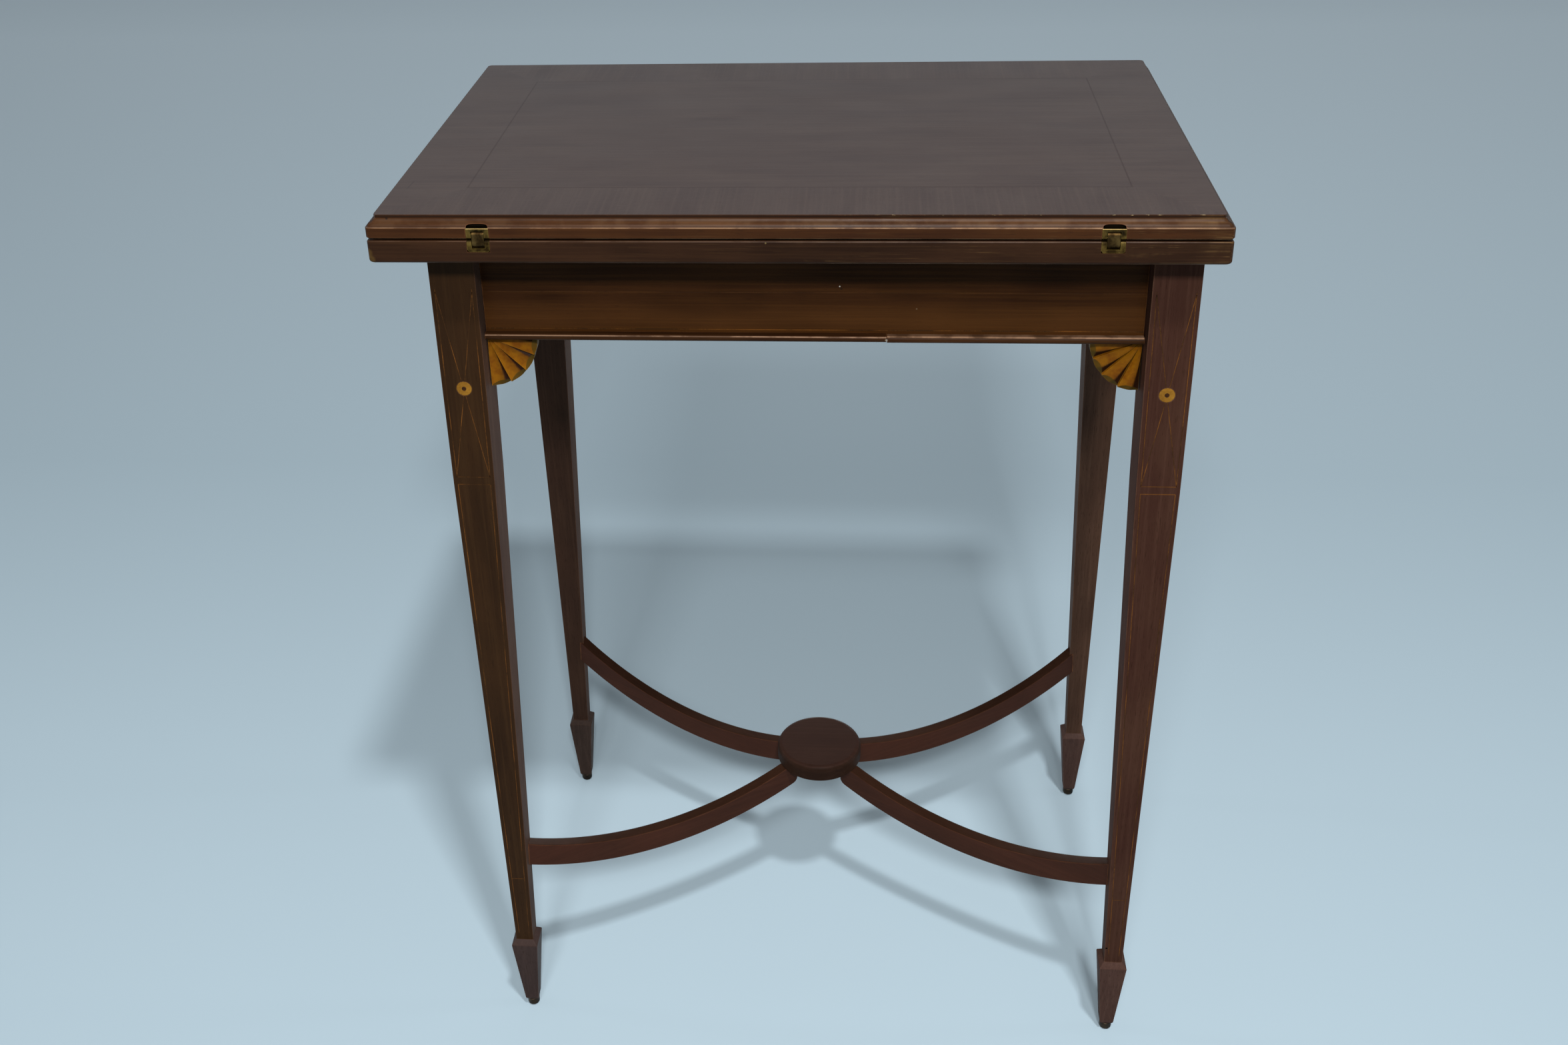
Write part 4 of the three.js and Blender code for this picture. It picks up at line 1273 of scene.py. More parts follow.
    def build_upper(self) -> None:
        """Builds the upper leaf, with the small pockets that show above its hinges."""
        cuts = self.cuts(Leaf.UPPER, self.upper_cheek)
        low = PLAN.upper_leaf_bottom + self.upper_cheek
        front = -PLAN.top_half_y
        for x in (-PLAN.hinge_x, PLAN.hinge_x):
            half, turns = self.pocket_width / 2, [share * math.pi for share in shares(24)]
            arch = [(x + half * math.copysign(abs(math.cos(turn)) ** 0.5, math.cos(turn)),
                     low + self.pocket_height * abs(math.sin(turn)) ** 0.5) for turn in turns]
            cuts.append(loft([[(px, y, pz) for px, pz in arch]
                              for y in (front - BEYOND, front + self.pocket_depth)]))

        def pick(face: bmesh.types.BMFace) -> int:
            """Tells the top, the playing side, the hollows painted with shade, the ends painted
            with shade and the long edges apart.
            """
            normal, middle = face.normal, face.calc_center_median()
            if (abs(abs(middle.x) - PLAN.hinge_x) < self.pocket_width / 2 + 0.1
                    and middle.y < front + self.pocket_depth + 0.1 and middle.z > low - 0.1):
                return 3
            if abs(normal.z) > 0.95:
                return 0 if normal.z > 0 else 4
            return 2 if abs(normal.x) > abs(normal.y) else 1

        board = sorted_faces(carve(self.blank(self.upper_profile()), cuts), pick)
        publish("upper_leaf_board", board, [TOP_WOOD, EDGE_WOOD, SHADED_END_WOOD, SHADED_HOLLOW_WOOD, LEAF_WOOD],
                Body.FOLDING_LEAF, Slot.MAHOGANY_TOP, ["upper_leaf"])

    def build_lower(self) -> None:
        """Builds the lower leaf, with the round pocket for the bolt's flange under it."""
        cuts = self.cuts(Leaf.LOWER, self.lower_cheek)
        at = (PLAN.pivot, PLAN.pivot)
        cuts.append(bar((*at, PLAN.lower_leaf_bottom - BEYOND),
                        (*at, PLAN.lower_leaf_bottom + self.bolt_flange_depth),
                        self.bolt_flange_radius))
        board = carve(self.blank(self.lower_profile()), cuts)
        publish("lower_leaf_board", board, [LEAF_WOOD], Body.TURNING_LEAF, Slot.MAHOGANY,
                ["lower_leaf"])

    def build_cloth(self, leaf: Leaf) -> None:
        """Lays a cloth into a leaf, with soft edges and a slightly uneven face."""
        half_x = PLAN.top_half_x - self.band_width
        half_y = PLAN.top_half_y - self.band_width
        back = leaf.surface + leaf.side * (self.cloth_recess - PLAN.glue_gap)
        bm = bmesh.new()
        bmesh.ops.create_grid(bm, x_segments=96, y_segments=60, size=1.0)
        for vert in bm.verts:
            x, y = vert.co.x * half_x, vert.co.y * half_y
            unevenness = math.sin(x / 31 + 1.3 * math.sin(y / 47)) * math.sin(y / 23)
            edge = min(half_x - abs(x), half_y - abs(y))
            soft = self.soft_edge if edge < 1 else 0.0
            height = self.cloth_thickness - self.cloth_margin
            height = height - self.cloth_unevenness * unevenness - soft
            vert.co = (x, y, back - leaf.side * height)
        node = f"{leaf.label}_cloth"
        cloth = publish(f"{node}_baize", backed(bm, back), [BAIZE], leaf.body, Slot.CLOTH, [node],
                        sharp=60)

    def build_string(self, leaf: Leaf) -> None:
        """Lays a boxwood string into the band just outside the cloth."""
        x = PLAN.top_half_x - self.band_width + self.string_offset
        y = PLAN.top_half_y - self.band_width + self.string_offset
        corners = [Vector((sx * x, sy * y, leaf.surface)) for sx, sy in SQUARE]
        bm = bmesh.new()
        for start, end in zip(corners, corners[1:] + corners[:1]):
            strip(bm, start, end, self.string_width, UP * -leaf.side)
        publish(f"{leaf.label}_cloth_string", bm, [STRING_WOOD], leaf.body, Slot.BOXWOOD)

    def build(self) -> None:
        """Builds both leaves, their cloths and the strings round them."""
        self.build_upper()
        self.build_lower()
        for lay in (self.build_cloth, self.build_string):
            for leaf in Leaf:
                lay(leaf)


@dataclass
class Hinges:
    """The two hinges on the front edge: plates, links, pins and countersunk screws."""

    plate_ease: float = 0.45
    plate_corner: float = 1.7
    lip_height: float = 0.7
    shaded_height: float = 1.1
    link_radius: float = 2.5
    link_width: float = 8.2
    pin_spacing: float = 6.2
    bore_radius: float = 1.2
    bore_reach: float = 9.0
    screw_radius: float = 2.3
    screw_depth: float = 1.2
    screw_slot: float = 0.6
    screw_places: Pair = (-170.5, -162.0)

    def link(self, x: float) -> Solid:
        """Makes a link at its hinge: a bar with round ends, bored for both pins."""
        low = PLAN.playing_height - PLAN.pin_depth
        ring = []
        for centre, turn in ((low, math.pi), (low + self.pin_spacing, 0.0)):
            for angle in (turn + share * math.pi for share in shares(14)):
                y = PLAN.hinge_y + self.link_radius * math.cos(angle)
                ring.append((y, centre + self.link_radius * math.sin(angle)))
        half = self.link_width / 2
        link = loft([[(x + end, y, z) for y, z in ring] for end in (-half, half)])
        ease(link, self.plate_ease, 2, math.radians(60))
        bores = [
            bar((x - self.bore_reach, PLAN.hinge_y, z), (x + self.bore_reach, PLAN.hinge_y, z),
                self.bore_radius, 20)
            for z in (low, low + self.pin_spacing)
        ]
        return carve(link, bores)

    def screws(self, x: float, leaf: Leaf) -> Solid:
        """Makes the two slotted screw heads of a leaf's plate at x, flush in its flange."""
        heads = bmesh.new()
        for number, y in enumerate(self.screw_places):
            radius = self.screw_radius
            head = turned([(0, -self.screw_depth), (radius * 0.5, -self.screw_depth),
                           (radius - 0.15, 0.0), (radius - 0.3, 0.06), (0, 0.1)], 28)
            half = self.screw_slot / 2
            head = carve(head, [block((-3, -half, -0.45), (3, half, 1))])
            turn = Matrix.Rotation(0.5 + 1.1 * number + x, 4, "Z")
            flip = Matrix.Rotation(math.pi if leaf is Leaf.UPPER else 0.0, 4, "X")
            place = Matrix.Translation((x, y, leaf.surface))
            bmesh.ops.transform(head, matrix=place @ flip @ turn, verts=head.verts)
            add_shape(heads, head)
        return heads

    def plate(self, node: str, leaf: Leaf) -> Solid:
        """Copies a plate: the upper one with its crest rounded over, the lower one with round
        lower corners. The crest is polished and painted with a highlight, and the faces in the
        shade of the pocket and of the other leaf are painted dark as shade.

        Args:
            node: the plate's node.
            leaf: the leaf that it is let into.

        Returns:
            The plate, with material numbers 0 for brass, 1 for painted shade and 2 for the polished
            crest with its painted highlight.
        """
        plate = copy_of(node)
        crest = max(vert.co.z for vert in plate.verts)
        foot = min(vert.co.z for vert in plate.verts)
        if leaf is Leaf.UPPER:
            ease(plate, self.plate_ease, 2,
                 wanted=lambda edge: min(vert.co.z for vert in edge.verts) > crest - 0.01)
        else:
            ease(plate, self.plate_corner, 5,
                 wanted=lambda edge: max(vert.co.z for vert in edge.verts) < foot + 0.01
                 and abs(edge.verts[0].co.y - edge.verts[1].co.y) > 5)

        def pick(face: bmesh.types.BMFace) -> int:
            """Tells the highlit crest and the painted shade from the plain brass."""
            middle = face.calc_center_median()
            if leaf is Leaf.UPPER:
                # The crest is polished and painted with a highlight; faces that look up are painted
                # shade.
                polished = middle.z > crest - self.lip_height
                return 1 if face.normal.z > 0.9 else 2 if polished else 0
            # Faces against the other leaf are painted shade.
            at_front = middle.y < self.shaded_height - PLAN.top_half_y
            return int(at_front and middle.z > crest - self.shaded_height)

        return sorted_faces(plate, pick)

    def build(self) -> None:
        """Builds both hinges."""
        for hand, x in (("left", -PLAN.hinge_x), ("right", PLAN.hinge_x)):
            node = f"hinge_link_{hand}"
            publish(f"{node}_eased", self.link(x), [LINK_BRASS], Body.HINGE_LINKS, Slot.BRASS,
                    [node])
            for leaf in Leaf:
                node = f"hinge_plate_{leaf.label}_{hand}"
                publish(f"{node}_eased", self.plate(node, leaf),
                        [BRASS, SHADED_BRASS, LIT_LIP_BRASS], leaf.body, Slot.BRASS, [node])
                dress(f"hinge_pin_{leaf.label}_{hand}", BRASS)
                publish(f"hinge_screws_{leaf.label}_{hand}", self.screws(x, leaf), [STEEL],
                        leaf.body, Slot.STEEL)


@dataclass
class Legs:
    """Four square tapered legs with inlaid panels, roundels, spade feet and glides."""

    top_width: float = 32.0
    panel_width: float = 30.4
    ankle_width: float = 14.6
    panel_foot: float = 531.0
    ankle_height: float = 80.6
    outer_share: float = 0.3
    arris: float = 0.6
    spade_width: float = 22.0
    toe_width: float = 10.8
    toe_chamfer: Pair = (1.8, 1.9)
    foot_spare: float = 0.3
    foot_joint: float = 0.05
    rim_height: float = 76.4
    glide_height: float = 7.6
    glide_radius: float = 5.0
    glide_flat: float = 2.6
    glide_chamfer: Pair = (0.4, 0.5)
    roundel_height: float = 608.0
    roundel_radius: float = 5.35
    roundel_depth: float = 1.2
    roundel_gap: float = 0.12
    dot_radius: float = 1.65
    string_width: float = 0.5
    panel_top: float = 684.0
    panel_inset: float = 3.1
    shaft_inset: float = 3.2
    panel_end: float = 536.3
    shaft_start: float = 530.2
    shaft_end: float = 149.2
    string_end: float = 88.0
    nail_radius: float = 0.9
    nail_depth: float = 4.0
    cross_start: float = 682.0

    def width_at(self, z: float) -> float:
        """The leg's width at a height."""
        if z >= PLAN.apron_bottom:
            return self.top_width
        if z >= self.panel_foot:
            share = (PLAN.apron_bottom - z) / (PLAN.apron_bottom - self.panel_foot)
            return self.top_width + (self.panel_width - self.top_width) * share
        share = (self.panel_foot - z) / (self.panel_foot - self.ankle_height)
        return self.panel_width + (self.ankle_width - self.panel_width) * share

    def inset_at(self, z: float) -> float:
        """How far the outer faces are tapered back at a height."""
        return self.outer_share * max(0.0, self.panel_width - self.width_at(z))

    def ring(self, corner: Corner, z: float, clearance: float = 0.0) -> list[Point]:
        """Draws a leg's square section at a height, grown by a clearance."""
        outer_x = PLAN.frame_half_x - self.inset_at(z) + clearance
        outer_y = PLAN.frame_half_y - self.inset_at(z) + clearance
        width = self.width_at(z) + 2 * clearance
        spans = ((outer_x, outer_y), (outer_x - width, outer_y),
                 (outer_x - width, outer_y - width), (outer_x, outer_y - width))
        return [(PLAN.frame_x + corner.sx * x, corner.sy * y, z) for x, y in spans]

    def post(self, corner: Corner, clearance: float = 0.0) -> Solid:
        """Makes a leg's plain post from the ankle to the top of the frame."""
        heights = (self.ankle_height + self.foot_joint, self.panel_foot, PLAN.apron_bottom,
                   PLAN.frame_top)
        return loft([self.ring(corner, z, clearance) for z in heights])

    def face_point(self, corner: Corner, face: Face, across: float, z: float) -> Vector:
        """Finds a point on an outer face of a leg.

        Args:
            corner: the leg.
            face: which of its outer faces.
            across: the distance from the leg's outermost arris.
            z: the height.

        Returns:
            The point.
        """
        inset = self.inset_at(z)
        x, y = PLAN.frame_half_x - inset, PLAN.frame_half_y - inset
        if face is Face.LONG:
            x -= across
        else:
            y -= across
        return Vector((PLAN.frame_x + corner.sx * x, corner.sy * y, z))

    def strings(self, corner: Corner) -> Solid:
        """Makes the strings of a leg: a crossed panel and a long tapered frame below it."""
        bm = bmesh.new()
        for face in Face:
            is_long = face is Face.LONG
            normal = Vector((0, corner.sy, 0)) if is_long else Vector((corner.sx, 0, 0))

            def line(a: Pair, b: Pair) -> None:
                """Lays a string between two places of the face, each (across, height)."""
                start, end = (self.face_point(corner, face, *place) for place in (a, b))
                strip(bm, start, end, self.string_width, normal)

            panel = (self.panel_inset, self.panel_top, self.panel_end, self.panel_end)
            shaft = (self.shaft_inset, self.shaft_start, self.shaft_end, self.string_end)
            for inset, top, foot, end in (panel, shaft):
                line((inset, top), (inset, end))
                line((self.width_at(top) - inset, top), (self.width_at(end) - inset, end))
                line((inset, foot), (self.width_at(foot) - inset, foot))
            line((self.shaft_inset, self.shaft_start),
                 (self.width_at(self.shaft_start) - self.shaft_inset, self.shaft_start))
            if is_long:
                near = self.panel_inset
                far_top = self.width_at(self.cross_start) - near
                far_foot = self.width_at(self.panel_end) - near
                line((near, self.cross_start), (far_foot, self.panel_end))
                line((far_top, self.cross_start), (near, self.panel_end))
        return bm

    def foot_place(self, corner: Corner) -> Pair:
        """Finds the middle of a leg's ankle, which its foot and glide are under."""
        outer = self.inset_at(self.ankle_height) + self.ankle_width / 2
        return (PLAN.frame_x + corner.sx * (PLAN.frame_half_x - outer),
                corner.sy * (PLAN.frame_half_y - outer))

    def roundel_frame(self, corner: Corner) -> Matrix:
        """Finds where a roundel lies: Z looks out of the leg's long face."""
        middle = self.width_at(self.roundel_height) / 2
        place = self.face_point(corner, Face.LONG, middle, self.roundel_height)
        turn = Matrix.Rotation(-corner.sy * QUARTER, 4, "X")
        return Matrix.Translation(place) @ turn

    def roundel(self, corner: Corner) -> Solid:
        """Makes a roundel with an eased rim and a dark dot in its middle."""
        radius, dot = self.roundel_radius, self.dot_radius
        bm = turned([(0, -self.roundel_depth), (radius, -self.roundel_depth), (radius, 0.0),
                     (radius - 0.25, 0.14), (dot, 0.2), (dot - 0.1, 0.12), (0, 0.12)], 40)

        def pick(face: bmesh.types.BMFace) -> int:
            """Tells the dot from the rim."""
            centre = face.calc_center_median()
            return int(math.hypot(centre.x, centre.y) < dot and centre.z > 0)

        sorted_faces(bm, pick)
        bmesh.ops.transform(bm, matrix=self.roundel_frame(corner), verts=bm.verts)
        return bm

    def spade(self, corner: Corner) -> Solid:
        """Makes a spade foot: a bevelled shoulder and a long taper to the toe."""
        x, y = self.foot_place(corner)
        toe = self.glide_height + PLAN.glue_gap
        inward, upward = self.toe_chamfer
        widths = ((self.toe_width - inward, toe),
                  (self.toe_width + self.foot_spare, toe + upward),
                  (self.spade_width, self.rim_height),
                  (self.ankle_width + self.foot_spare, self.ankle_height))
        rings = [[(x + a * width / 2, y + b * width / 2, z) for a, b in SQUARE]
                 for width, z in widths]
        return ease(loft(rings), 0.5, 2, math.radians(20))

    def glide(self, corner: Corner) -> Solid:
        """Makes a domed glide under a foot."""
        dome = self.glide_radius - self.glide_flat
        profile = [(0.0, 0.0), (self.glide_flat, 0.0)]
        for angle in (share * QUARTER for share in shares(7, 1)):
            profile.append((self.glide_flat + dome * math.sin(angle), dome * (1 - math.cos(angle))))
        inward, downward = self.glide_chamfer
        profile += [(self.glide_radius, self.glide_height - downward),
                    (self.glide_radius - inward, self.glide_height), (0.0, self.glide_height)]
        bm = turned(profile, 32)
        bmesh.ops.translate(bm, vec=(*self.foot_place(corner), 0.0), verts=bm.verts)
        return bm

    def carved_post(self, corner: Corner) -> Solid:
        """Makes a leg's post with eased arrises, its roundel's seat and the nail's hole.

        Args:
            corner: the leg.

        Returns:
            The post, with material numbers 0 for the leg's wood, 1 for the hole, painted dark as
            shade, and 2 for the inner side of a left leg, painted paler as lit.
        """
        place = self.roundel_frame(corner)
        inner, outer = (place @ (UP * z) for z in (-self.roundel_depth - 0.1, BEYOND))
        cuts = [bar(inner, outer, self.roundel_radius + self.roundel_gap, 40)]
        hole, run = Vector(NAIL_HOLE), Vector((0, self.nail_depth, 0))
        if corner is Corner.FRONT_RIGHT:
            cuts.append(bar(hole + run, hole - run, self.nail_radius, 16))
        post = ease(
            self.post(corner), self.arris, 2, math.radians(40),
            lambda edge: abs((edge.verts[0].co - edge.verts[1].co).z) > 1.0,
        )

        def pick(face: bmesh.types.BMFace) -> int:
            """Tells the hole and the inner side from the rest."""
            away = face.calc_center_median() - hole
            beside = math.hypot(away.x, away.z) < self.nail_radius + 0.05
            if abs(away.y) < self.nail_depth + 0.2 and beside:
                return 1
            return 2 if corner.sx < 0 and face.normal.x > 0.9 else 0

        return sorted_faces(carve(post, cuts), pick)

    def build(self) -> None:
        """Builds the four legs with all that is on them."""
        for corner in Corner:
            label = corner.label
            pieces = (
                ("leg", "post", self.carved_post(corner),
                 [LEG_WOODS[corner], SHADED_HOLLOW_WOOD, LIT_INNER_WOOD], Slot.MAHOGANY),
                ("leg", "strings", self.strings(corner), [STRING_WOOD], Slot.BOXWOOD),
                ("roundel", "dotted", self.roundel(corner), [ROUNDEL_WOOD, DOT_WOOD],
                 Slot.BOXWOOD),
                ("spade_foot", "eased", self.spade(corner), [FOOT_WOODS[corner]], Slot.MAHOGANY),
                ("glide", "domed", self.glide(corner), [GLIDE_METAL], Slot.STEEL),
            )
            for kind, word, shape, finishes, slot in pieces:
                nodes = [] if word == "strings" else [f"{kind}_{label}"]
                publish(f"{kind}_{label}_{word}", shape, finishes, Body.FRAME, slot, nodes)


@dataclass
class Aprons:
    """The four aprons with their strings and the half-round beads under them."""

    bead_height: float = 5.0
    bead_projection: float = 6.0
    string_width: float = 0.7
    string_height: float = 648.2
    faint_height: float = 676.1
    faint_width: float = 0.5
    splice: float = 63.0
    splice_gap: float = 0.2
    splice_drop: float = 0.6
    splice_setback: float = 0.4

    def bead(self, start: Vector, end: Vector, out: Vector, reach: float) -> Solid:
        """Makes a length of bead.

        Args:
            start: the lower back corner of one end.
            end: the lower back corner of the other end.
            out: the way its nose points.
            reach: how far it stands out.

        Returns:
            The bead.
        """
        nose = self.bead_height / 2
        section = [(0.0, 0.0)]
        for angle in ((share - 0.5) * math.pi for share in shares(14)):
            section.append((reach - nose + nose * math.cos(angle), nose + nose * math.sin(angle)))
        section.append((0.0, self.bead_height))
        return loft([[tuple(at + out * u + UP * v) for u, v in section] for at in (start, end)])

    def build_beads(self) -> None:
        """Builds the beads. The front one is in two lengths that don't quite meet."""
        gap = PLAN.glue_gap
        face_y = PLAN.frame_half_y - PLAN.apron_recess + gap
        face_x = PLAN.frame_half_x - PLAN.apron_recess + gap
        long_half, short_half = PLAN.inner_half_x - gap, PLAN.inner_half_y - gap
        z = PLAN.apron_bottom
        reach = self.bead_projection
        for label, sy in (("front", -1), ("back", 1)):
            out = Vector((0, sy, 0))
            ends = [PLAN.frame_x - long_half, PLAN.frame_x + long_half]
            lengths = [(ends[0], ends[1], 0.0, reach)]
            if label == "front":
                lengths = [(ends[0], self.splice - self.splice_gap, 0.0, reach),
                           (self.splice + self.splice_gap, ends[1], -self.splice_drop,
                            reach - self.splice_setback)]
            bm = bmesh.new()
            for x0, x1, lift, out_by in lengths:
                start, end = (Vector((x, sy * face_y, z + lift)) for x in (x0, x1))
                add_shape(bm, self.bead(start, end, out, out_by))
            publish(f"bead_{label}_round", bm, [BEAD_WOOD], Body.FRAME, Slot.MAHOGANY,
                    [f"bead_{label}"])
        for label, sx in (("left", -1), ("right", 1)):
            x = PLAN.frame_x + sx * face_x
            start, end = Vector((x, -short_half, z)), Vector((x, short_half, z))
            bm = self.bead(start, end, Vector((sx, 0, 0)), reach)
            publish(f"bead_{label}_round", bm, [SIDE_BEAD_WOOD], Body.FRAME, Slot.MAHOGANY,
                    [f"bead_{label}"])

    def build_strings(self) -> None:
        """Lays two strings along each apron, the upper one darkened under the polish."""
        out_y = PLAN.frame_half_y - PLAN.apron_recess
        out_x = PLAN.frame_half_x - PLAN.apron_recess
        run_x = Vector((PLAN.inner_half_x - 0.5, 0, 0))
        run_y = Vector((0, PLAN.inner_half_y - 0.5, 0))
        sides = (("front", (0, -out_y, 0), run_x), ("back", (0, out_y, 0), run_x),
                 ("left", (-out_x, 0, 0), run_y), ("right", (out_x, 0, 0), run_y))
        for height, width, finish, word in (
            (self.string_height, self.string_width, STRING_WOOD, "string"),
            (self.faint_height, self.faint_width, FAINT_STRING_WOOD, "faint_string"),
        ):
            for label, out, run in sides:
                middle = Vector((PLAN.frame_x, 0, height)) + Vector(out)
                normal = Vector(out).normalized()
                bm = bmesh.new()
                strip(bm, middle - run, middle + run, width, normal)
                publish(f"apron_{label}_{word}", bm, [finish], Body.FRAME, Slot.BOXWOOD)

    def build(self) -> None:
        """Dresses the boards, and builds the beads and strings."""
        for label, finish in (("front", LONG_WOOD), ("back", LONG_WOOD),
                              ("left", SHORT_WOOD), ("right", SHORT_WOOD)):
            dress(f"apron_{label}", finish)
        self.build_beads()
        self.build_strings()


@dataclass
class Fans:
    """Eight carved quarter fans in the corners between aprons and legs."""

    reach_along: float = 34.6
    reach_down: float = 38.2
    scallop: float = 0.5
    petals: int = 4
    ridge: float = 9.0
    brink: float = 8.2
    valley: float = 6.4
    hollow: float = 0.35
    calm_radius: float = 14.0
    facet_length: float = 4.2
    facet_fall: float = 1.6
    facet_share: float = 0.75
    wedge_share: float = 0.5
    bright_share: float = 0.5

    def layers(self, bm: Solid) -> list[bmesh.types.BMLayerItem]:
        """Adds the attributes that tell the satinwood where wedges and end facets are."""
        for name in (PETAL_SHADE, PETAL_END):
            bm.verts.layers.float.new(name)
        return [bm.verts.layers.float[name] for name in (PETAL_SHADE, PETAL_END)]

    def petal(self, number: int, ridge_at_leg: bool) -> Solid:
        """Carves one petal, with X along the apron, Y down and Z outwards.

        Args:
            number: its place, counted from the leg.
            ridge_at_leg: whether it is highest on the leg's side.

        Returns:
            The petal as a closed solid that knows where its wedge and its end facet are.
        """
        bm = bmesh.new()
        shade_layer, end_layer = self.layers(bm)
        bmesh.ops.create_grid(bm, x_segments=16, y_segments=16, size=1.0)
        middle = (self.ridge + self.valley) / 2
        for vert in bm.verts:
            u, t = (vert.co.x + 1) / 2, (vert.co.y + 1) / 2
            across = u if ridge_at_leg else 1 - u
            wedge = self.wedge_share * max(0.05, t)
            bright = min(across / self.bright_share, 1.0)
            dark = max(0.0, (across - self.bright_share) / (1 - self.bright_share))
            fall = bright * (1 - wedge) + dark * wedge
            s = fall if ridge_at_leg else 1 - fall
            angle = (number + s) / self.petals * QUARTER
            rim = math.hypot(self.reach_along * math.sin(angle), self.reach_down * math.cos(angle))
            rim += self.scallop * math.sin(math.pi * s)
            facet = self.facet_length * (0.1 + 0.9 * math.sin(math.pi * fall) ** 0.8)
            past = max(0.0, (t - self.facet_share) / (1 - self.facet_share))
            r = min(t / self.facet_share, 1.0) * (rim - facet) + past * facet
            strength = min(1.0, r / self.calm_radius)
            carved = self.ridge + (self.brink - self.ridge) * bright
            carved -= self.hollow * math.sin(math.pi * bright)
            carved += (self.valley - self.brink) * (1 - math.cos(math.pi * dark)) / 2
            lens = facet / self.facet_length
            height = middle + (carved - middle) * strength - past * self.facet_fall * lens
            vert.co = (r * math.sin(angle), r * math.cos(angle), height)
            vert[shade_layer] = 0.25 * bright**2 + 0.75 * min(1.0, 2 * dark)
            vert[end_layer] = 1.0 if past > 0 else 0.0
        bmesh.ops.remove_doubles(backed(bm, 0.0), verts=bm.verts, dist=WELD)
        return bm

    def fan(self, ridge_at_leg: bool) -> Solid:
        """Puts a fan's petals together."""
        bm = bmesh.new()
        self.layers(bm)
        for number in range(self.petals):
            add_shape(bm, self.petal(number, ridge_at_leg))
        return bm

    def build(self) -> None:
        """Builds the two fans of each corner."""
        top = PLAN.apron_bottom - PLAN.glue_gap
        back = PLAN.apron_recess + self.ridge
        for corner in Corner:
            sx, sy = corner.sx, corner.sy
            at_left = sx * sy > 0
            placings = {
                "long": (
                    at_left, Vector((-sx, 0, 0)), Vector((0, sy, 0)),
                    Vector((PLAN.frame_x + sx * (PLAN.inner_half_x - PLAN.glue_gap),
                            sy * (PLAN.frame_half_y - back), top)),
                ),
                "short": (
                    not at_left, Vector((0, -sy, 0)), Vector((sx, 0, 0)),
                    Vector((PLAN.frame_x + sx * (PLAN.frame_half_x - back),
                            sy * (PLAN.inner_half_y - PLAN.glue_gap), top)),
                ),
            }
            for word, (ridge_at_leg, along, out, place) in placings.items():
                bm = self.fan(ridge_at_leg)
                turn = Matrix((along, -UP, out)).transposed().to_4x4()
                matrix = Matrix.Translation(place) @ turn
                bmesh.ops.transform(bm, matrix=matrix, verts=bm.verts)
                node = f"fan_{corner.label}_{word}"
                publish(f"{node}_carved", bm, [FAN_WOOD], Body.FRAME, Slot.SATINWOOD, [node],
                        sharp=24)


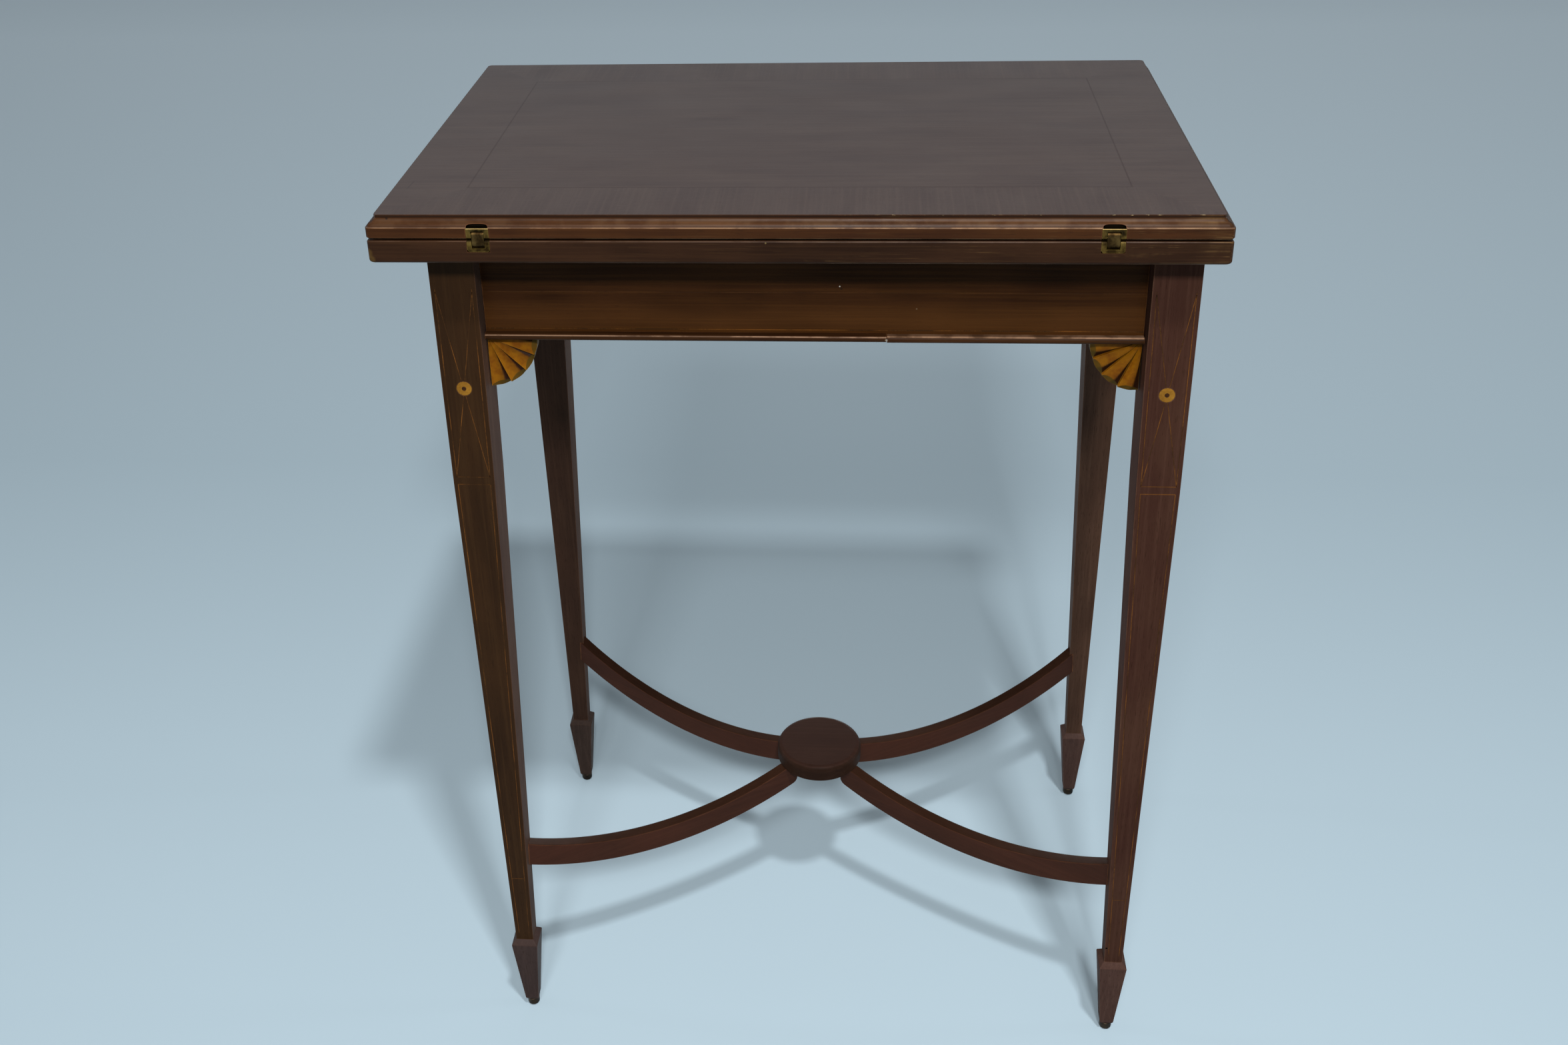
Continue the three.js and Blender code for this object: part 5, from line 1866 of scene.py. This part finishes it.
@dataclass
class Stretcher:
    """Four arms on the diagonals, hanging in a curve between the legs and a disc."""

    legs: Legs
    thickness: float = 10.0
    depth: float = 20.0
    curve_radius: float = 302.0
    low_point: float = 144.5
    low_distance: float = 137.0
    inner: float = 25.0
    toe_radius: float = 7.0
    arris: float = 0.8
    disc_radius: float = 37.0
    disc_thickness: float = 14.2
    disc_arris: float = 4.5
    seat: float = 161.5
    reach: float = 286.5
    leg_clearance: float = 0.15

    def outline(self) -> list[Pair]:
        """Draws an arm's side view.

        Returns:
            (distance, height) points: the flat seat, the upper curve, and the lower curve
            back to the round toe.
        """
        centre = self.low_point + self.curve_radius
        points = [(self.inner, self.seat), (self.disc_radius - 0.5, self.seat)]
        steps = 30
        for step in range(steps + 1):
            distance = self.disc_radius + (self.reach - self.disc_radius) * step / steps
            drop = math.sqrt(self.curve_radius**2 - (distance - self.low_distance) ** 2)
            points.append((distance, centre - drop))
        low_radius = self.curve_radius + self.depth
        toe = self.inner + self.toe_radius
        toe_angle = math.asin((toe - self.low_distance) / (low_radius - self.toe_radius))
        outer_angle = math.asin((self.reach - self.low_distance) / low_radius)
        for step in range(steps + 1):
            angle = outer_angle + (toe_angle - outer_angle) * step / steps
            points.append((self.low_distance + low_radius * math.sin(angle),
                           centre - low_radius * math.cos(angle)))
        toe_height = centre - (low_radius - self.toe_radius) * math.cos(toe_angle)
        arc_steps = 8
        start, end = toe_angle - QUARTER, -math.pi
        for step in range(1, arc_steps + 1):
            angle = start + (end - start) * step / arc_steps
            points.append((toe + self.toe_radius * math.cos(angle),
                           toe_height + self.toe_radius * math.sin(angle)))
        return points

    def arm(self, corner: Corner) -> Solid:
        """Makes an arm, let up to its leg."""
        along = Vector((corner.sx * math.cos(ARM_BEARING), corner.sy * math.sin(ARM_BEARING), 0))
        side = Vector((-along.y, along.x, 0)) * self.thickness / 2
        centre = Vector((PLAN.frame_x, 0, 0))
        rings = [
            [tuple(centre + along * d + UP * z + side * sign) for d, z in self.outline()]
            for sign in (-1, 1)
        ]
        arm = ease(loft(rings), self.arris, 2, math.radians(60))
        return carve(arm, [self.legs.post(corner, self.leg_clearance)])

    def disc(self) -> Solid:
        """Makes the disc, with a well-rounded upper arris."""
        low, high = self.seat + PLAN.glue_gap, self.seat + PLAN.glue_gap + self.disc_thickness
        radius, arris = self.disc_radius, self.disc_arris
        profile = [(0.0, low), (radius - 0.6, low), (radius - 0.15, low + 0.2), (radius, low + 0.6)]
        for angle in (share * QUARTER for share in shares(10)):
            profile.append((radius - arris * (1 - math.cos(angle)),
                            high - arris * (1 - math.sin(angle))))
        profile.append((0.0, high))
        bm = turned(profile, 96)
        bmesh.ops.translate(bm, vec=(PLAN.frame_x, 0, 0), verts=bm.verts)
        return bm

    def build(self) -> None:
        """Builds the arms and the disc."""
        for corner in Corner:
            rising = corner.sx * corner.sy > 0
            finishes = [RISING_WOOD if rising else FALLING_WOOD,
                        SHADED_RISING_TOP_WOOD if rising else SHADED_FALLING_TOP_WOOD]
            node = f"stretcher_arm_{corner.label}"
            # Faces that look up get the darker wood: painted shade.
            arm = sorted_faces(self.arm(corner), lambda face: int(face.normal.z > 0.6))
            publish(f"{node}_eased", arm, finishes, Body.FRAME, Slot.MAHOGANY, [node])
        # Faces that don't look up get the darker rim wood: painted shade.
        disc = sorted_faces(self.disc(), lambda face: int(face.normal.z <= 0.7))
        publish("stretcher_disc_turned", disc, [DISC_WOOD, SHADED_RIM_WOOD], Body.FRAME, Slot.MAHOGANY,
                ["stretcher_disc"])


@dataclass
class Swivel:
    """The hidden parts that the top turns on, and the floor of the well."""

    wood_ease: float = 0.5
    metal_ease: float = 0.3

    def build(self) -> None:
        """Rounds the edges of the rail, block, board, bolt, washer and nut."""
        for node, finish, body in (
            ("pivot_rail", DEAL_SHORT, Body.FRAME),
            ("swivel_stop", DEAL_LONG, Body.TURNING_LEAF),
            ("well_floor", DEAL_LONG, Body.FRAME),
            ("pivot_bolt", STEEL, Body.TURNING_LEAF),
            ("pivot_washer", STEEL, Body.TURNING_LEAF),
            ("pivot_nut", STEEL, Body.TURNING_LEAF),
        ):
            width, slot = self.wood_ease, Slot.SECONDARY_WOOD
            if finish is STEEL:
                width, slot = self.metal_ease, Slot.STEEL
            publish(f"{node}_eased", ease(copy_of(node), width, 1), [finish], body, slot, [node])


@dataclass
class Studio:
    """The floor, the lamps, the world and the camera."""

    floor_radius: float = 9.0
    floor_colour: str = "#adc1cc"
    far_painted_light: str = "#dceffa"
    far_start: float = 0.8
    far_end: float = 3.2
    world_light: str = "#f4f6f8"
    world_strength: float = 0.22
    backdrop: str = "#b4c6d0"
    lamp_aim: Point = (0.0, 0.0, 0.3)
    lamps: tuple[tuple[str, Point, float, float], ...] = (
        ("key_lamp", (0.62, -1.74, 4.05), 0.25, 89.0),
        ("front_lamp", (0.3, -2.23, 2.34), 0.25, 46.0),
        ("left_lamp", (-0.29, -2.74, 2.83), 0.45, 39.0),
    )
    fill_places: tuple[Point, ...] = ((-3.3, 0.3, 0.44), (3.3, 0.3, 0.44), (0.0, 3.3, 0.44))
    fill_size: float = 0.5
    fill_power: float = 0.9
    fill_spread: float = 22.0
    camera_place: Point = (49.66, -1151.65, 1113.5)
    camera_yaw: float = 5.5474
    camera_pitch: float = 26.2959
    camera_roll: float = -1.9710
    focal_pixels: float = 2420.11
    frame_width: float = 2352.0
    sensor_width: float = 36.0
    shift_pixels: Pair = (-86.36, -221.64)

    def build_floor(self) -> None:
        """Lays a plain pale floor that runs past the edges of the picture, painted paler
        far behind the table as painted light."""
        bm = bmesh.new()
        bmesh.ops.create_circle(bm, cap_ends=True, segments=128, radius=self.floor_radius)
        mesh = bpy.data.meshes.new("studio_floor")
        bm.to_mesh(mesh)
        bm.free()
        paint = bpy.data.materials.new("matt_studio_paint")
        paint.use_nodes = True
        tree = paint.node_tree
        space = add_node(tree, "TexCoord").outputs["Object"]
        depth = add_node(tree, "SeparateXYZ", {0: space}).outputs[1]
        # Painted light: the floor turns paler with distance behind the table.
        far_light_mask = sharpened(tree, depth, self.far_start, self.far_end)
        feed(tree, tree.nodes["Principled BSDF"], {
            "Base Color": mixed(tree, far_light_mask, self.floor_colour, self.far_painted_light),
            "Roughness": 0.75,
            "Specular IOR Level": 0.2,
        })
        mesh.materials.append(paint)
        floor = placed("studio_floor", mesh)

    def build_world(self) -> None:
        """Lights the scene evenly; the camera and mirror rays see the backdrop's colour."""
        world = bpy.data.worlds.new("studio_world")
        bpy.context.scene.world = world
        world.use_nodes = True
        tree = world.node_tree
        tree.nodes.clear()
        path = add_node(tree, "LightPath").outputs
        seen = path["Is Camera Ray"]
        for kind in ("Is Glossy Ray", "Is Transmission Ray"):
            seen = reckoned(tree, "MAXIMUM", seen, path[kind])
        light = add_node(tree, "Background", {0: srgb(self.world_light), 1: self.world_strength})
        shown = add_node(tree, "Background", {0: srgb(self.backdrop), 1: 1.0})
        both = add_node(tree, "MixShader", {0: seen, 1: light.outputs[0], 2: shown.outputs[0]})
        add_node(tree, "OutputWorld", {"Surface": both.outputs[0]})

    def lamp(
        self, name: str, place: Point, aim: Point, size: float, power: float, spread: float = 180.0
    ) -> None:
        """Hangs a square soft lamp.

        Args:
            name: the lamp's name.
            place: where it hangs, in metres.
            aim: the point it looks at, in metres.
            size: the length of its sides, in metres.
            power: its power in watts.
            spread: how far its light fans out, in degrees.
        """
        light = bpy.data.lights.new(name, "AREA")
        light.shape = "SQUARE"
        light.size = size
        light.energy = power
        light.spread = math.radians(spread)
        run = Vector(aim) - Vector(place)
        turn = run.to_track_quat("-Z", "Y").to_matrix().to_4x4()
        placed(name, light).matrix_world = Matrix.Translation(place) @ turn

    def build_camera(self) -> None:
        """Sets the camera where the photograph was taken from."""
        yaw, pitch, roll = (
            math.radians(a) for a in (self.camera_yaw, self.camera_pitch, self.camera_roll)
        )
        ahead = Vector((-math.sin(yaw) * math.cos(pitch), math.cos(yaw) * math.cos(pitch),
                        -math.sin(pitch)))
        level = Vector((math.cos(yaw), math.sin(yaw), 0.0))
        up = level.cross(ahead)
        right = level * math.cos(roll) + up * math.sin(roll)
        top = up * math.cos(roll) - level * math.sin(roll)
        turn = Matrix((right, top, -ahead)).transposed().to_4x4()
        lens = bpy.data.cameras.new("camera")
        lens.sensor_width = self.sensor_width
        lens.lens = self.sensor_width * self.focal_pixels / self.frame_width
        lens.shift_x = -self.shift_pixels[0] / self.frame_width
        lens.shift_y = self.shift_pixels[1] / self.frame_width
        lens.clip_start = 0.01
        lens.clip_end = 50.0
        camera = placed("camera", lens)
        camera.matrix_world = Matrix.Translation(Vector(self.camera_place) * MM) @ turn
        bpy.context.scene.camera = camera

    def build(self) -> None:
        """Builds the whole studio."""
        self.build_floor()
        self.build_world()
        for name, place, size, power in self.lamps:
            self.lamp(name, place, self.lamp_aim, size, power)
        for number, place in enumerate(self.fill_places):
            self.lamp(f"fill_lamp_{number}", place, (0.0, 0.0, place[2]), self.fill_size,
                      self.fill_power, self.fill_spread)
        self.build_camera()
        bpy.context.scene.view_settings.view_transform = "Standard"


def main() -> None:
    """Builds the table and its studio."""
    logging.basicConfig(level=logging.INFO, format="%(name)s %(message)s")
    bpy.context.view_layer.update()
    legs = Legs()
    for part in (Leaves(), Hinges(), legs, Aprons(), Fans(), Stretcher(legs), Swivel(), Studio()):
        LOG.info("building %s", type(part).__name__)
        part.build()


if __name__ == "__main__":
    main()
